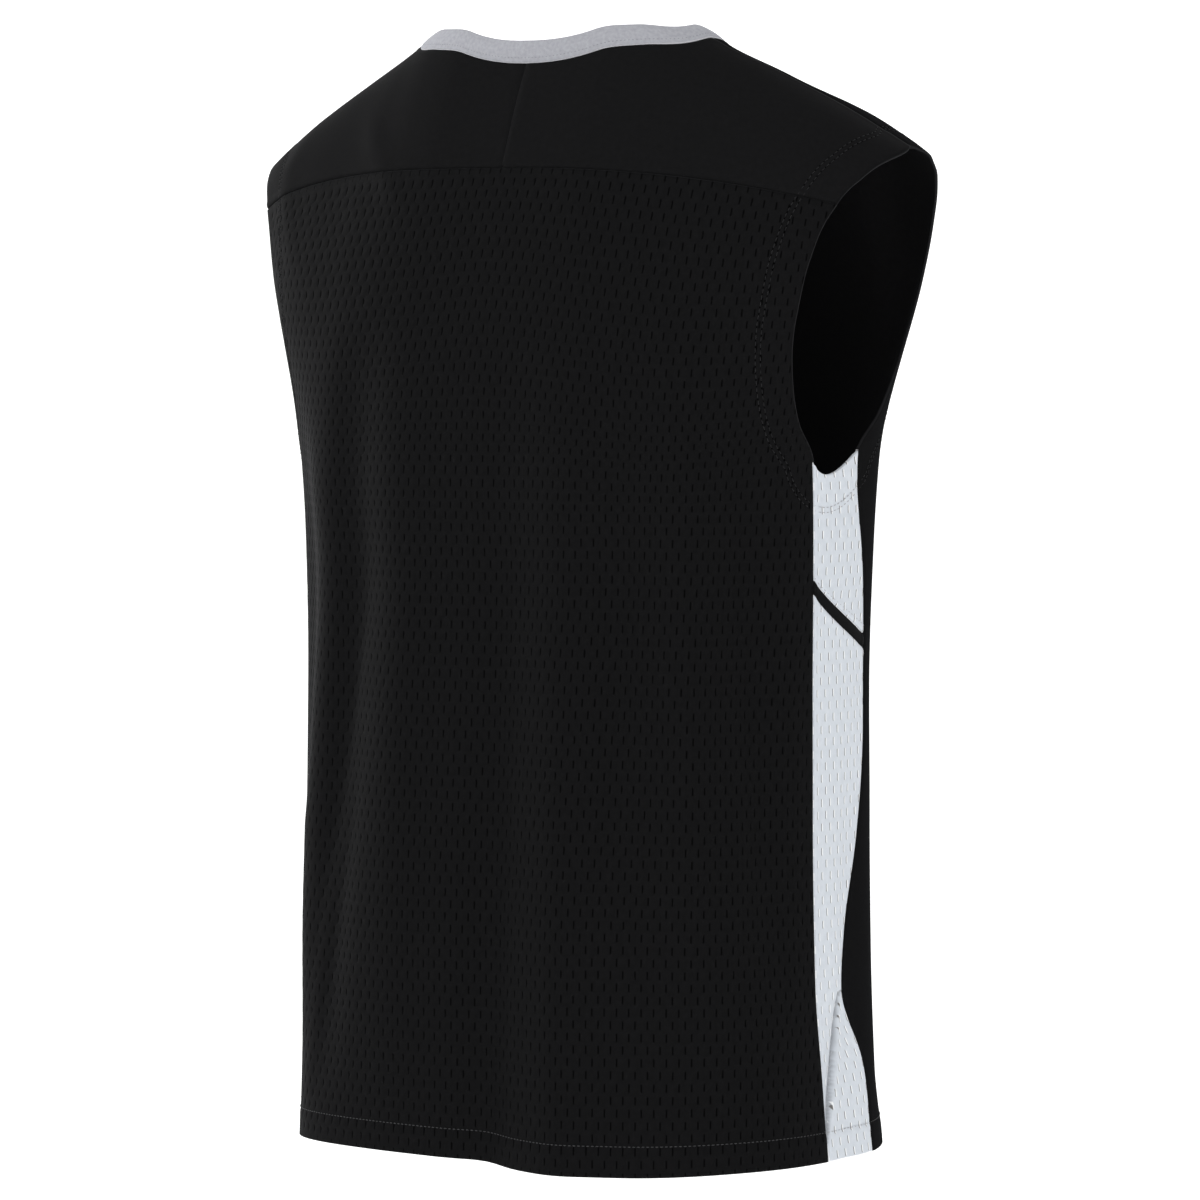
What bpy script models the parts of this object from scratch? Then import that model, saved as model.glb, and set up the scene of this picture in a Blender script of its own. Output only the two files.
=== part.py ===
"""Sleeveless jersey, filled out as if worn, on no wearer.

Metres, +Z up. The origin is the middle of the neck at the height where the shoulder seams
meet the collar. The back faces +Y, the front faces -Y, the wearer's left is +X.
Every cut piece is its own closed wall of cloth: front, back, two yokes, collar, and on each
side an upper panel, a slanting band and a lower panel.
"""
import math

import bmesh
import bpy
import numpy as np

# ---------------------------------------------------------------- driving sizes
WALL = 0.0015            # knit cloth
COLLAR_WALL = 0.0022     # folded rib
SEAM_GAP = 0.0003        # between two pieces that are sewn together
HEM_HEIGHT = -0.701      # lower edge at the side seams
ARCH_START = -0.295      # above this height front and back close towards the shoulder seam
COLLAR_WIDTH = 0.0155
NECK_HALF_WIDTH = 0.107  # neckline seam, seen from above
NECK_BACK = 0.0476
NECK_FRONT = 0.092
NECK_SQUARE = 2.2
YOKE_CENTRE = -0.0815    # height of the yoke seam at the centre back
YOKE_EDGE = -0.1055      # and at the armhole
YOKE_POWER = {1: 3.2, -1: 2.2}   # how late it droops, left and right
TIP_X = 0.233            # outer end of the shoulder seam
TIP_HEIGHT = -0.0695
CENTRE_Y = -0.018        # middle of the level sections

COLLECTION = "sleeveless_jersey"
BLACK_MESH = (0.010, 0.010, 0.011)
BLACK_KNIT = (0.011, 0.011, 0.012)
WHITE_MESH = (0.74, 0.77, 0.80)
GREY_RIB = (0.38, 0.38, 0.41)

# level sections of the filled-out body, without folds
SECTION_COLUMNS = ("height", "half_width", "back_depth", "front_depth",
                   "across", "side", "front_across", "front_side")
SECTIONS = (
    (-0.730, 0.196, 0.137, 0.132, 3.2, 2.4, 2.6, 2.5),
    (-0.650, 0.192, 0.137, 0.128, 3.2, 2.4, 2.5, 2.5),
    (-0.570, 0.190, 0.137, 0.126, 3.3, 2.4, 2.4, 2.5),
    (-0.490, 0.189, 0.134, 0.128, 3.3, 2.4, 2.5, 2.4),
    (-0.410, 0.189, 0.130, 0.126, 3.4, 2.4, 2.5, 2.4),
    (-0.340, 0.190, 0.127, 0.128, 3.4, 2.4, 2.6, 2.4),
    (-0.265, 0.192, 0.130, 0.134, 3.5, 2.4, 2.9, 2.4),
    (-0.190, 0.211, 0.134, 0.138, 3.5, 2.3, 3.3, 2.4),
    (-0.140, 0.235, 0.134, 0.137, 3.3, 2.2, 3.0, 2.3),
    (-0.100, 0.252, 0.134, 0.136, 3.1, 2.2, 2.7, 2.3),
    (-0.060, 0.264, 0.133, 0.135, 3.0, 2.2, 2.6, 2.2),
    (0.030, 0.290, 0.133, 0.133, 3.0, 2.2, 2.6, 2.2),
)

# the shoulder seam as a ridge, from the centre line of the neck to past the shoulder tip
RIDGE_COLUMNS = ("x", "height", "y")
RIDGE = (
    (0.000, 0.031, 0.000),
    (0.050, 0.031, 0.000),
    (0.078, 0.021, 0.000),
    (0.107, 0.000, 0.000),
    (0.150, -0.022, -0.010),
    (0.195, -0.046, -0.022),
    (0.233, -0.0695, -0.030),
    (0.310, -0.119, -0.034),
)

# fullness of the closing arch: powers across and up, by distance from the middle plane
ARCH_COLUMNS = ("x", "across", "up")
BACK_ARCH = (
    (0.000, 1.77, 1.54),
    (0.120, 1.77, 1.54),
    (0.195, 2.10, 1.80),
    (0.242, 2.30, 2.00),
)
FRONT_ARCH = (
    (0.000, 2.00, 1.45),
    (0.100, 1.90, 1.42),
    (0.160, 2.00, 1.50),
    (0.195, 2.70, 2.40),
    (0.242, 3.00, 2.70),
)

# edges of the back and the front seen from the side: side seam, underarm corner, armhole
BACK_CORNER = -0.2635
BACK_EDGE = (
    # height, y
    (-0.730, 0.000),
    (-0.650, 0.004),
    (-0.590, 0.009),
    (-0.450, 0.010),
    (-0.335, 0.011),
    (-0.2635, 0.015),
    (-0.240, 0.031),
    (-0.210, 0.0425),
    (-0.175, 0.0475),
    (-0.140, 0.0445),
    (-0.112, 0.034),
    (-0.092, 0.018),
    (-0.078, -0.004),
    (-0.0695, -0.030),
)
FRONT_CORNER = -0.2575
FRONT_EDGE = (
    # height, y
    (-0.730, -0.062),
    (-0.700, -0.057),
    (-0.645, -0.048),
    (-0.615, -0.031),
    (-0.593, -0.024),
    (-0.560, -0.029),
    (-0.500, -0.044),
    (-0.430, -0.054),
    (-0.335, -0.050),
    (-0.2575, -0.036),
    (-0.235, -0.060),
    (-0.214, -0.075),
    (-0.170, -0.089),
    (-0.134, -0.086),
    (-0.105, -0.076),
    (-0.086, -0.063),
    (-0.074, -0.048),
    (-0.0695, -0.030),
)
UNDERARM_DIP = 0.010     # the armhole's lowest point, below its two corners

# slanting band across each side panel: heights of its edges at the back and front seam
BAND = {"back": (-0.3365, -0.3455), "front": (-0.374, -0.383)}

# lower edge of the back's hem, below HEM_HEIGHT
HEM_FADE = 0.15          # the rows above follow the hem this far up
HEM = (
    # share of the half back (right side below 0, left side above), drop
    (-1.00, 0.000),
    (-0.75, 0.001),
    (-0.40, 0.004),
    (-0.15, 0.003),
    (0.00, 0.000),
    (0.60, -0.002),
    (1.00, 0.000),
)

# soft folds: from (top, bearing) to (bottom, bearing), half width and height of the crest
FOLDS = (
    # top, bearing_top, bottom, bearing_bottom, half_width, crest
    (-0.17, 37.0, -0.68, 44.0, 0.019, -0.012),
    (-0.20, 21.0, -0.72, 23.0, 0.020, 0.003),
    (-0.15, 60.0, -0.50, 60.0, 0.035, -0.008),
    (-0.18, 64.0, -1.10, 64.0, 0.030, -0.010),
    (-0.18, -12.0, -1.10, 1.0, 0.020, -0.0085),
    (-0.18, -29.0, -1.10, -26.0, 0.022, 0.007),
    (-0.18, -40.0, -0.60, -41.0, 0.013, -0.004),
    (-0.14, -51.0, -0.62, -55.0, 0.016, 0.010),
    (-0.16, -64.0, -0.62, -71.0, 0.015, -0.007),
    (-0.08, 74.0, -0.25, 78.0, 0.040, -0.006),
    (-0.42, -96.0, -0.72, -90.0, 0.010, -0.0028),
    (-0.40, 95.0, -0.74, 91.0, 0.010, -0.0028),
    (-0.20, 148.0, -0.68, 140.0, 0.020, -0.009),
    (-0.16, 167.0, -1.10, 170.0, 0.024, 0.006),
    (-0.22, 178.0, -1.10, 183.0, 0.018, -0.006),
    (-0.18, -160.0, -1.10, -152.0, 0.022, 0.006),
    (-0.17, -146.0, -0.70, -140.0, 0.018, -0.008),
    (-0.20, 124.0, -0.64, 128.0, 0.017, 0.005),
    (-0.22, -124.0, -0.64, -124.0, 0.025, -0.004),
    (-0.655, -122.0, -0.745, -122.0, 0.030, 0.006),
)

# lean of the collar band from upright towards the neck, in degrees; -1 is the centre front,
# 0 the shoulder seam and 1 the centre back
COLLAR_LEAN = (
    (-1.0, 35.0),
    (-0.5, 48.0),
    (0.0, 58.0),
    (0.5, 30.0),
    (1.0, 4.0),
)

# how many strips each stretch of a panel has
COLUMNS_HALF = 18        # centre line to the side edge
NECK_COLUMNS = 10        # of these, along the neckline
SHARES = np.linspace(0.0, 1.0, COLUMNS_HALF + 1)
REACH_POWER = 1.7        # spreads the columns evenly over the flat middle
SIDE_COLUMNS = 5
ROWS_LOWER = 12          # hem to the band
ROWS_BAND = 1
ROWS_UPPER = 4           # band to the underarm corner
ROWS_ARMHOLE = 7         # underarm corner to the yoke seam
ROWS_YOKE = 5            # yoke seam to the shoulder seam
ROWS_FRONT = 12          # front underarm corner to the shoulder seam
COLLAR_ROWS = 2
SOLVE_STEPS = 26         # halvings of an interval when a place is looked for
FINE_STEPS = 160         # short steps along which a row is measured


# ---------------------------------------------------------------- tables as smooth curves
def smooth(table, column, at):
    """Value of a table's column at the places `at` of its first column, on a smooth curve."""
    places = np.array([row[0] for row in table])
    values = np.array([row[column] for row in table])
    step = np.diff(places)
    slope = np.diff(values) / step
    tangent = np.zeros_like(values)
    tangent[0], tangent[-1] = slope[0], slope[-1]
    same_way = slope[:-1] * slope[1:] > 0
    weight = (slope[:-1] * step[1:] + slope[1:] * step[:-1]) / (step[1:] + step[:-1])
    limit = 3.0 * np.minimum(abs(slope[:-1]), abs(slope[1:]))
    tangent[1:-1] = np.where(same_way, np.sign(weight) * np.minimum(abs(weight), limit), 0.0)
    at = np.clip(np.asarray(at, dtype=float), places[0], places[-1])
    left = np.clip(np.searchsorted(places, at) - 1, 0, len(step) - 1)
    t = (at - places[left]) / step[left]
    return ((2 * t**3 - 3 * t**2 + 1) * values[left]
            + (t**3 - 2 * t**2 + t) * step[left] * tangent[left]
            + (3 * t**2 - 2 * t**3) * values[left + 1]
            + (t**3 - t**2) * step[left] * tangent[left + 1])


def section(height, name):
    return smooth(SECTIONS, SECTION_COLUMNS.index(name), height)


def ridge(x, name):
    return smooth(RIDGE, RIDGE_COLUMNS.index(name), abs(x))


# ---------------------------------------------------------------- the form of the body
def half_x(face, turn, height):
    """Distance from the middle plane at a turn of 0 (centre line) to 90 degrees (side)."""
    across = section(height, "across" if face > 0 else "front_across")
    return section(height, "half_width") * np.sin(turn) ** (2.0 / across)


def ring_y(face, turn, height):
    side = section(height, "side" if face > 0 else "front_side")
    depth = section(height, "back_depth" if face > 0 else "front_depth")
    return CENTRE_Y + face * depth * np.cos(turn) ** (2.0 / side)


def arch(face, x, name):
    return smooth(BACK_ARCH if face > 0 else FRONT_ARCH, ARCH_COLUMNS.index(name), abs(x))


def height_at(face, turn, level):
    """Height of a level: metres below the arch's start, or the share of its quarter turn."""
    turn, level = np.broadcast_arrays(np.asarray(turn, float), np.asarray(level, float))
    height = ARCH_START + np.minimum(level, 0.0)
    climb = np.sin(np.clip(level, 0.0, 1.0) * math.pi / 2)
    for _ in range(SOLVE_STEPS):
        x = half_x(face, turn, height)
        rise = climb ** (2.0 / arch(face, x, "up"))
        top = ridge(x, "height")
        height = np.where(level > 0, ARCH_START + (top - ARCH_START) * rise, height)
    return height


def level_at(face, x, height):
    """The level that passes through a height at a distance x from the middle plane."""
    rise = (height - ARCH_START) / (ridge(x, "height") - ARCH_START)
    climb = np.clip(rise, 0.0, 1.0) ** (arch(face, x, "up") / 2.0)
    share = np.arcsin(climb) / (math.pi / 2)
    return np.where(height > ARCH_START, share, height - ARCH_START)


def pulled_y(face, turn, height):
    """Y of the smooth body, drawn in towards the ridge above the arch's start."""
    x = half_x(face, turn, height)
    across, up = arch(face, x, "across"), arch(face, x, "up")
    rise = np.clip((height - ARCH_START) / (ridge(x, "height") - ARCH_START), 0.0, 1.0)
    pull = (1.0 - rise ** up) ** (1.0 / across)
    seat = ridge(x, "y")
    return seat + (ring_y(face, turn, height) - seat) * pull


def fold_offset(bearing, radius, height):
    """How far the folds lift the cloth at a bearing in degrees, a radius and a height."""
    offset = np.zeros_like(height)
    for top, bearing_top, bottom, bearing_bottom, half_width, crest in FOLDS:
        along = (height - top) / (bottom - top)
        middle = bearing_top + (bearing_bottom - bearing_top) * along
        turned = (bearing - middle + 180.0) % 360.0 - 180.0
        away = np.radians(turned) * radius / half_width
        inside = np.clip(along, 0.0, 1.0)
        swell = np.sin(math.pi * inside)
        offset += crest * swell * np.exp(-away ** 2)
    return offset


def body_point(face, side, turn, height):
    """Points of the middle of the cloth. face +1 back, -1 front; side +1 left, -1 right."""
    turn, height = np.broadcast_arrays(np.asarray(turn, float), np.asarray(height, float))
    x = side * half_x(face, turn, height)
    y = pulled_y(face, turn, height)
    across = section(height, "across" if face > 0 else "front_across")
    squared = section(height, "side" if face > 0 else "front_side")
    depth = section(height, "back_depth" if face > 0 else "front_depth")
    out_x = np.sin(turn) ** (2.0 - 2.0 / across) * across / section(height, "half_width")
    out_y = np.cos(turn) ** (2.0 - 2.0 / squared) * squared / depth
    size = np.hypot(out_x, out_y)
    bearing = np.degrees(np.arctan2(x, y - CENTRE_Y))
    lift = fold_offset(bearing, np.hypot(x, y - CENTRE_Y), height)
    return np.stack((x + side * lift * out_x / size, y + face * lift * out_y / size, height), -1)


def turn_of_y(face, y, height):
    """The turn at which the smooth body has the given y, at one height."""
    low, high = 0.0, math.pi / 2
    for _ in range(SOLVE_STEPS):
        middle = (low + high) / 2
        inside = (float(pulled_y(face, middle, height)) - y) * face > 0
        low, high = (middle, high) if inside else (low, middle)
    return (low + high) / 2


def turn_of_x(face, x, height):
    across = section(height, "across" if face > 0 else "front_across")
    share = np.clip(x / section(height, "half_width"), 0.0, 1.0)
    return np.arcsin(share ** (across / 2.0))


# ---------------------------------------------------------------- places on the cloth
# A place is a pair: reach (0 on the centre line, growing to the side) and level.
def place(turn, level):
    return np.stack(np.broadcast_arrays(np.asarray(turn, float) ** (1.0 / REACH_POWER), level), -1)


def points_at(face, side, places):
    turn = np.clip(places[..., 0], 0.0, None) ** REACH_POWER
    level = places[..., 1]
    return body_point(face, side, turn, height_at(face, turn, level))


def edge_place(face, height):
    """The place of a panel's side edge at one height."""
    if height >= TIP_HEIGHT - 1e-6:
        return place(turn_of_x(face, TIP_X, TIP_HEIGHT), 1.0)
    edge = BACK_EDGE if face > 0 else FRONT_EDGE
    turn = turn_of_y(face, float(smooth(edge, 1, height)), height)
    return place(turn, level_at(face, half_x(face, turn, height), height))


def edge_heights(face, low, high, count):
    """Heights of count + 1 stations on a side edge, evenly spaced in the side view."""
    heights = np.linspace(low, high, FINE_STEPS)
    edge = BACK_EDGE if face > 0 else FRONT_EDGE
    steps = np.hypot(np.diff(heights), np.diff(smooth(edge, 1, heights)))
    length = np.concatenate(([0.0], np.cumsum(steps)))
    return np.interp(np.linspace(0.0, length[-1], count + 1), length, heights)


def level_row(face, side, edge, level_of, shares):
    """Places along a row from the centre line to an edge, evenly spaced on the cloth.

    level_of gives the level at a share of the row's length and a reach."""
    reach = np.linspace(0.0, edge[0], FINE_STEPS)
    share = reach / edge[0]
    for _ in range(4):
        points = points_at(face, side, np.stack((reach, level_of(share, reach)), -1))
        steps = np.linalg.norm(np.diff(points, axis=0), axis=-1)
        length = np.concatenate(([0.0], np.cumsum(steps)))
        share = length / length[-1]
    reach = np.interp(shares, share, reach)
    return np.stack((reach, level_of(shares, reach)), -1)


def patch(low, high, inner, outer):
    """Places inside four edges: low and high rows, inner and outer columns."""
    u = np.linspace(0.0, 1.0, len(low))[None, :, None]
    v = np.linspace(0.0, 1.0, len(inner))[:, None, None]
    corners = ((1 - u) * (1 - v) * low[0] + u * (1 - v) * low[-1]
               + (1 - u) * v * high[0] + u * v * high[-1])
    rows = (1 - v) * low[None] + v * high[None]
    columns = (1 - u) * inner[:, None] + u * outer[:, None]
    return rows + columns - corners


# ---------------------------------------------------------------- rows that pieces share
def neck_place(face, share):
    """Place of the neckline seam, from the shoulder seam (share 0) to the centre (1)."""
    angle = share * math.pi / 2
    x = NECK_HALF_WIDTH * math.cos(angle) ** (2.0 / NECK_SQUARE)
    reach = NECK_BACK if face > 0 else NECK_FRONT
    y = face * reach * math.sin(angle) ** (2.0 / NECK_SQUARE)
    low, high = ARCH_START, float(ridge(x, "height"))
    for _ in range(SOLVE_STEPS):
        middle = (low + high) / 2
        above = (y - float(pulled_y(face, turn_of_x(face, x, middle), middle))) * face > 0
        low, high = (low, middle) if above else (middle, high)
    return place(turn_of_x(face, x, middle), level_at(face, x, middle))


def top_row(face):
    """Places along the neckline and the shoulder seam, centre line to shoulder tip."""
    neck = [neck_place(face, 1.0 - i / NECK_COLUMNS) for i in range(NECK_COLUMNS)]
    shoulder = []
    for i in range(COLUMNS_HALF - NECK_COLUMNS + 1):
        x = NECK_HALF_WIDTH + (TIP_X - NECK_HALF_WIDTH) * i / (COLUMNS_HALF - NECK_COLUMNS)
        turn = turn_of_x(face, x, float(ridge(x, "height")))
        shoulder.append(place(turn, 1.0))
    return np.array(neck + shoulder)


def yoke_row(side):
    """Places along the yoke seam, centre line to armhole."""
    def level_of(share, reach):
        height = YOKE_CENTRE + (YOKE_EDGE - YOKE_CENTRE) * share ** YOKE_POWER[side]
        return level_at(1, half_x(1, reach ** REACH_POWER, height), height)
    return level_row(1, side, edge_place(1, YOKE_EDGE), level_of, SHARES)


def seam_heights(face):
    """Heights of the rows from the hem to the underarm corner at one side seam."""
    upper, lower = BAND["back" if face > 0 else "front"]
    corner = BACK_CORNER if face > 0 else FRONT_CORNER
    return np.concatenate((np.linspace(HEM_HEIGHT, lower, ROWS_LOWER + 1)[:-1],
                           np.linspace(lower, upper, ROWS_BAND + 1)[:-1],
                           np.linspace(upper, corner, ROWS_UPPER + 1)))


def body_rows(face, side):
    """Places of the rows from the hem to the underarm, centre line to side seam."""
    rows = []
    for height in seam_heights(face):
        edge = edge_place(face, height)
        fade = np.clip((HEM_FADE - height + HEM_HEIGHT) / HEM_FADE, 0.0, 1.0) ** 2

        def level_of(share, reach):
            if face < 0:
                return np.full_like(share, edge[1])
            return edge[1] - fade * smooth(HEM, 1, side * share)
        rows.append(level_row(face, side, edge, level_of, SHARES))
    return np.array(rows)


# ---------------------------------------------------------------- the pieces as point grids
def join_halves(left, right):
    """One grid from two halves that share the centre line, right to left."""
    return np.concatenate((right[:, ::-1], left[:, 1:]), axis=1)


def back_grid():
    halves = {}
    for side in (1, -1):
        lower = body_rows(1, side)
        seam = yoke_row(side)
        heights = edge_heights(1, BACK_CORNER, YOKE_EDGE, ROWS_ARMHOLE)
        outer = np.array([edge_place(1, height) for height in heights])
        inner = np.linspace(lower[-1, 0], seam[0], ROWS_ARMHOLE + 1)
        upper = patch(lower[-1], seam, inner, outer)
        halves[side] = points_at(1, side, np.concatenate((lower, upper[1:])))
    return join_halves(halves[1], halves[-1])


def front_grid():
    halves = {}
    for side in (1, -1):
        lower = body_rows(-1, side)
        top = top_row(-1)
        heights = edge_heights(-1, FRONT_CORNER, TIP_HEIGHT, ROWS_FRONT)
        outer = np.array([edge_place(-1, height) for height in heights])
        inner = np.linspace(lower[-1, 0], top[0], ROWS_FRONT + 1)
        upper = patch(lower[-1], top, inner, outer)
        halves[side] = points_at(-1, side, np.concatenate((lower, upper[1:])))
    return join_halves(halves[1], halves[-1])


def yoke_grid(side):
    seam = yoke_row(side)
    top = top_row(1)
    heights = edge_heights(1, YOKE_EDGE, TIP_HEIGHT, ROWS_YOKE)
    outer = np.array([edge_place(1, height) for height in heights])
    inner = np.linspace(seam[0], top[0], ROWS_YOKE + 1)
    return points_at(1, side, patch(seam, top, inner, outer))


def side_point(side, y, height):
    face = 1 if y > CENTRE_Y else -1
    return body_point(face, side, turn_of_y(face, y, height), height)


def side_grid(side, first, last):
    """Rows first to last of a side panel, each from the back seam to the front seam."""
    back, front = seam_heights(1), seam_heights(-1)
    rows = []
    for row in range(first, last + 1):
        above_band = max(0, row - ROWS_LOWER - ROWS_BAND) / ROWS_UPPER
        cells = []
        for share in np.linspace(0.0, 1.0, SIDE_COLUMNS + 1):
            height = back[row] + (front[row] - back[row]) * share
            height -= UNDERARM_DIP * 4 * share * (1 - share) * above_band ** 2
            y_back = float(smooth(BACK_EDGE, 1, back[row]))
            y_front = float(smooth(FRONT_EDGE, 1, front[row]))
            cells.append(side_point(side, y_back + (y_front - y_back) * share, height))
        rows.append(cells)
    return np.array(rows)


def neck_ring(front, yokes):
    """Neckline points all round, the points one row below them, and where each lies."""
    rim, below, round_to = [], [], []
    for quarter in range(4):
        side = -1 if quarter in (0, 3) else 1
        face = 1 if quarter in (0, 1) else -1
        for step in range(NECK_COLUMNS):
            column = step if quarter in (1, 3) else NECK_COLUMNS - step
            grid = yokes[side] if face > 0 else front
            place_in_row = column if face > 0 else COLUMNS_HALF + side * column
            rim.append(grid[-1, place_in_row])
            below.append(grid[-2, place_in_row])
            round_to.append(face * (1.0 - column / NECK_COLUMNS))
    return np.array(rim), np.array(below), round_to


def seat_gap(foot, below, along, upward):
    """How far up the band starts, so that its wall clears the cloth it stands on."""
    along = along / np.linalg.norm(along)
    across = foot - below
    across = across - along * (across @ along)
    bend = math.acos(min(1.0, float(across @ upward) / np.linalg.norm(across)))
    return (WALL + COLLAR_WALL) / 2 * math.tan(bend / 2) + SEAM_GAP / 2


def collar_grid(front, yokes):
    """Two edges of the band all round the neck, and the rows between them."""
    rim, below, round_to = neck_ring(front, yokes)
    onward = np.roll(rim, -1, axis=0) - np.roll(rim, 1, axis=0)
    rows = []
    for row in range(COLLAR_ROWS + 1):
        cells = []
        for foot, under, along, where in zip(rim, below, onward, round_to):
            lean = math.radians(float(smooth(COLLAR_LEAN, 1, where)))
            inward = -foot[:2] / np.linalg.norm(foot[:2])
            upward = np.array([*(inward * math.sin(lean)), math.cos(lean)])
            run = seat_gap(foot, under, along, upward) + COLLAR_WIDTH * row / COLLAR_ROWS
            cells.append(foot + upward * run)
        rows.append(cells)
    return np.array(rows)


# ---------------------------------------------------------------- walls
def shoulder_clearance(front, yokes):
    """How far front and yoke stand back from each point of their top rows, by side."""
    clearance = {}
    for side in (1, -1):
        columns = COLUMNS_HALF + side * np.arange(COLUMNS_HALF + 1)
        rim = yokes[side][-1]
        onto = rim - yokes[side][-2]
        away = front[-2, columns] - rim
        sizes = np.linalg.norm(onto, axis=-1) * np.linalg.norm(away, axis=-1)
        bend = np.arccos(np.clip((onto * away).sum(-1) / sizes, -0.5, 1.0))
        clear = SEAM_GAP / 2 + WALL / 2 * np.tan(bend / 2)
        clear[:NECK_COLUMNS] = SEAM_GAP / 2
        clearance[side] = clear
    return clearance


def pulled_back(grid, edges, top_clear=SEAM_GAP / 2):
    """The grid with the named edges half a seam gap further in.

    edges gives, for the first and last columns, how many rows are moved."""
    grid = grid.copy()
    for name, stop in edges.items():
        rim, inner = (0, 1) if name in ("low", "first") else (-1, -2)
        if name in ("low", "high"):
            step = grid[inner] - grid[rim]
            step /= np.linalg.norm(step, axis=-1, keepdims=True)
            clear = top_clear if name == "high" else SEAM_GAP / 2
            grid[rim] += step * np.broadcast_to(clear, grid.shape[1])[:, None]
        else:
            step = grid[:stop, inner] - grid[:stop, rim]
            step /= np.linalg.norm(step, axis=-1, keepdims=True)
            grid[:stop, rim] += step * SEAM_GAP / 2
    return grid


def cloth_object(name, grid, material, wall, closed=False):
    """A flat grid whose points are moved to the places in `grid`, with a wall's thickness."""
    rows, columns = grid.shape[0] - 1, grid.shape[1] - 1
    sheet = bmesh.new()
    bmesh.ops.create_grid(sheet, x_segments=columns, y_segments=rows, size=0.5)
    for vert in sheet.verts:
        column = round((vert.co.x + 0.5) * columns)
        row = round((vert.co.y + 0.5) * rows)
        vert.co = grid[row, column]
    if closed:
        bmesh.ops.remove_doubles(sheet, verts=sheet.verts, dist=0.00001)
    mesh = bpy.data.meshes.new(name)
    sheet.to_mesh(mesh)
    sheet.free()
    mesh.shade_smooth()
    mesh.materials.append(material)
    cloth = bpy.data.objects.new(name, mesh)
    bpy.data.collections[COLLECTION].objects.link(cloth)
    thick = cloth.modifiers.new("wall", "SOLIDIFY")
    thick.thickness = wall
    thick.offset = 0.0
    return cloth


def knit(name, colour, roughness):
    material = bpy.data.materials.new(name)
    material.use_nodes = True
    shader = material.node_tree.nodes["Principled BSDF"]
    shader.inputs["Base Color"].default_value = (*colour, 1.0)
    shader.inputs["Roughness"].default_value = roughness
    shader.inputs["Metallic"].default_value = 0.0
    return material


def build():
    for item in list(bpy.data.objects):
        bpy.data.objects.remove(item, do_unlink=True)
    group = bpy.data.collections.new(COLLECTION)
    bpy.context.scene.collection.children.link(group)

    corner_row = ROWS_LOWER + ROWS_BAND + ROWS_UPPER + 1
    seams = {"high": None, "first": corner_row, "last": corner_row}
    front = front_grid()
    yokes = {1: yoke_grid(1), -1: yoke_grid(-1)}
    clear = shoulder_clearance(front, yokes)
    front_clear = np.concatenate((clear[-1][::-1], clear[1][1:]))
    cloth_object("back", pulled_back(back_grid(), seams),
                 knit("back_mesh", BLACK_MESH, 0.75), WALL)
    cloth_object("front", pulled_back(front, seams, front_clear),
                 knit("front_knit", BLACK_KNIT, 0.75), WALL)
    for side, word in ((1, "left"), (-1, "right")):
        yoke = pulled_back(yokes[side], {"low": None, "high": None, "first": None}, clear[side])
        cloth_object("yoke_" + word, yoke, knit("yoke_knit_" + word, BLACK_KNIT, 0.75), WALL)
        band_row = ROWS_LOWER + ROWS_BAND
        lower = pulled_back(side_grid(side, 0, ROWS_LOWER), {"high": None, "first": None, "last": None})
        band = pulled_back(side_grid(side, ROWS_LOWER, band_row),
                           {"low": None, "high": None, "first": None, "last": None})
        upper = pulled_back(side_grid(side, band_row, corner_row - 1),
                            {"low": None, "first": None, "last": None})
        cloth_object("side_%s_lower" % word, lower, knit("side_mesh_low_" + word, WHITE_MESH, 0.7), WALL)
        cloth_object("side_%s_band" % word, band, knit("band_knit_" + word, BLACK_KNIT, 0.75), WALL)
        cloth_object("side_%s_upper" % word, upper, knit("side_mesh_up_" + word, WHITE_MESH, 0.7), WALL)
    ring = collar_grid(front, yokes)
    ring = np.concatenate((ring, ring[:, :1]), axis=1)
    cloth_object("collar", ring, knit("collar_rib", GREY_RIB, 0.85), COLLAR_WALL, closed=True)


build()
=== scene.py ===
import math

import bpy
import numpy as np
from mathutils import Matrix, Vector


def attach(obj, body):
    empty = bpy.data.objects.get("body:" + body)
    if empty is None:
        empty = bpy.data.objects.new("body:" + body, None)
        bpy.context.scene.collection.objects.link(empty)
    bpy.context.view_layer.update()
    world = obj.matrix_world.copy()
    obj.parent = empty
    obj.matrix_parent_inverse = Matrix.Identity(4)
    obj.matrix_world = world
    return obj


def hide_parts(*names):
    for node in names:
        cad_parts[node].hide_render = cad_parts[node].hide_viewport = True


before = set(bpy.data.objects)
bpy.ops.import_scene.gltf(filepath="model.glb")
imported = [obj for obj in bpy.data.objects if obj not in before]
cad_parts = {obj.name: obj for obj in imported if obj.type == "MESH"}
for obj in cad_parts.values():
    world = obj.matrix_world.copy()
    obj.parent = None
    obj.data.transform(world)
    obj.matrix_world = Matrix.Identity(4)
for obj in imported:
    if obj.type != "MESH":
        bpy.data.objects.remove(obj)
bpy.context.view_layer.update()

bpy.ops.object.select_all(action="DESELECT")

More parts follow.
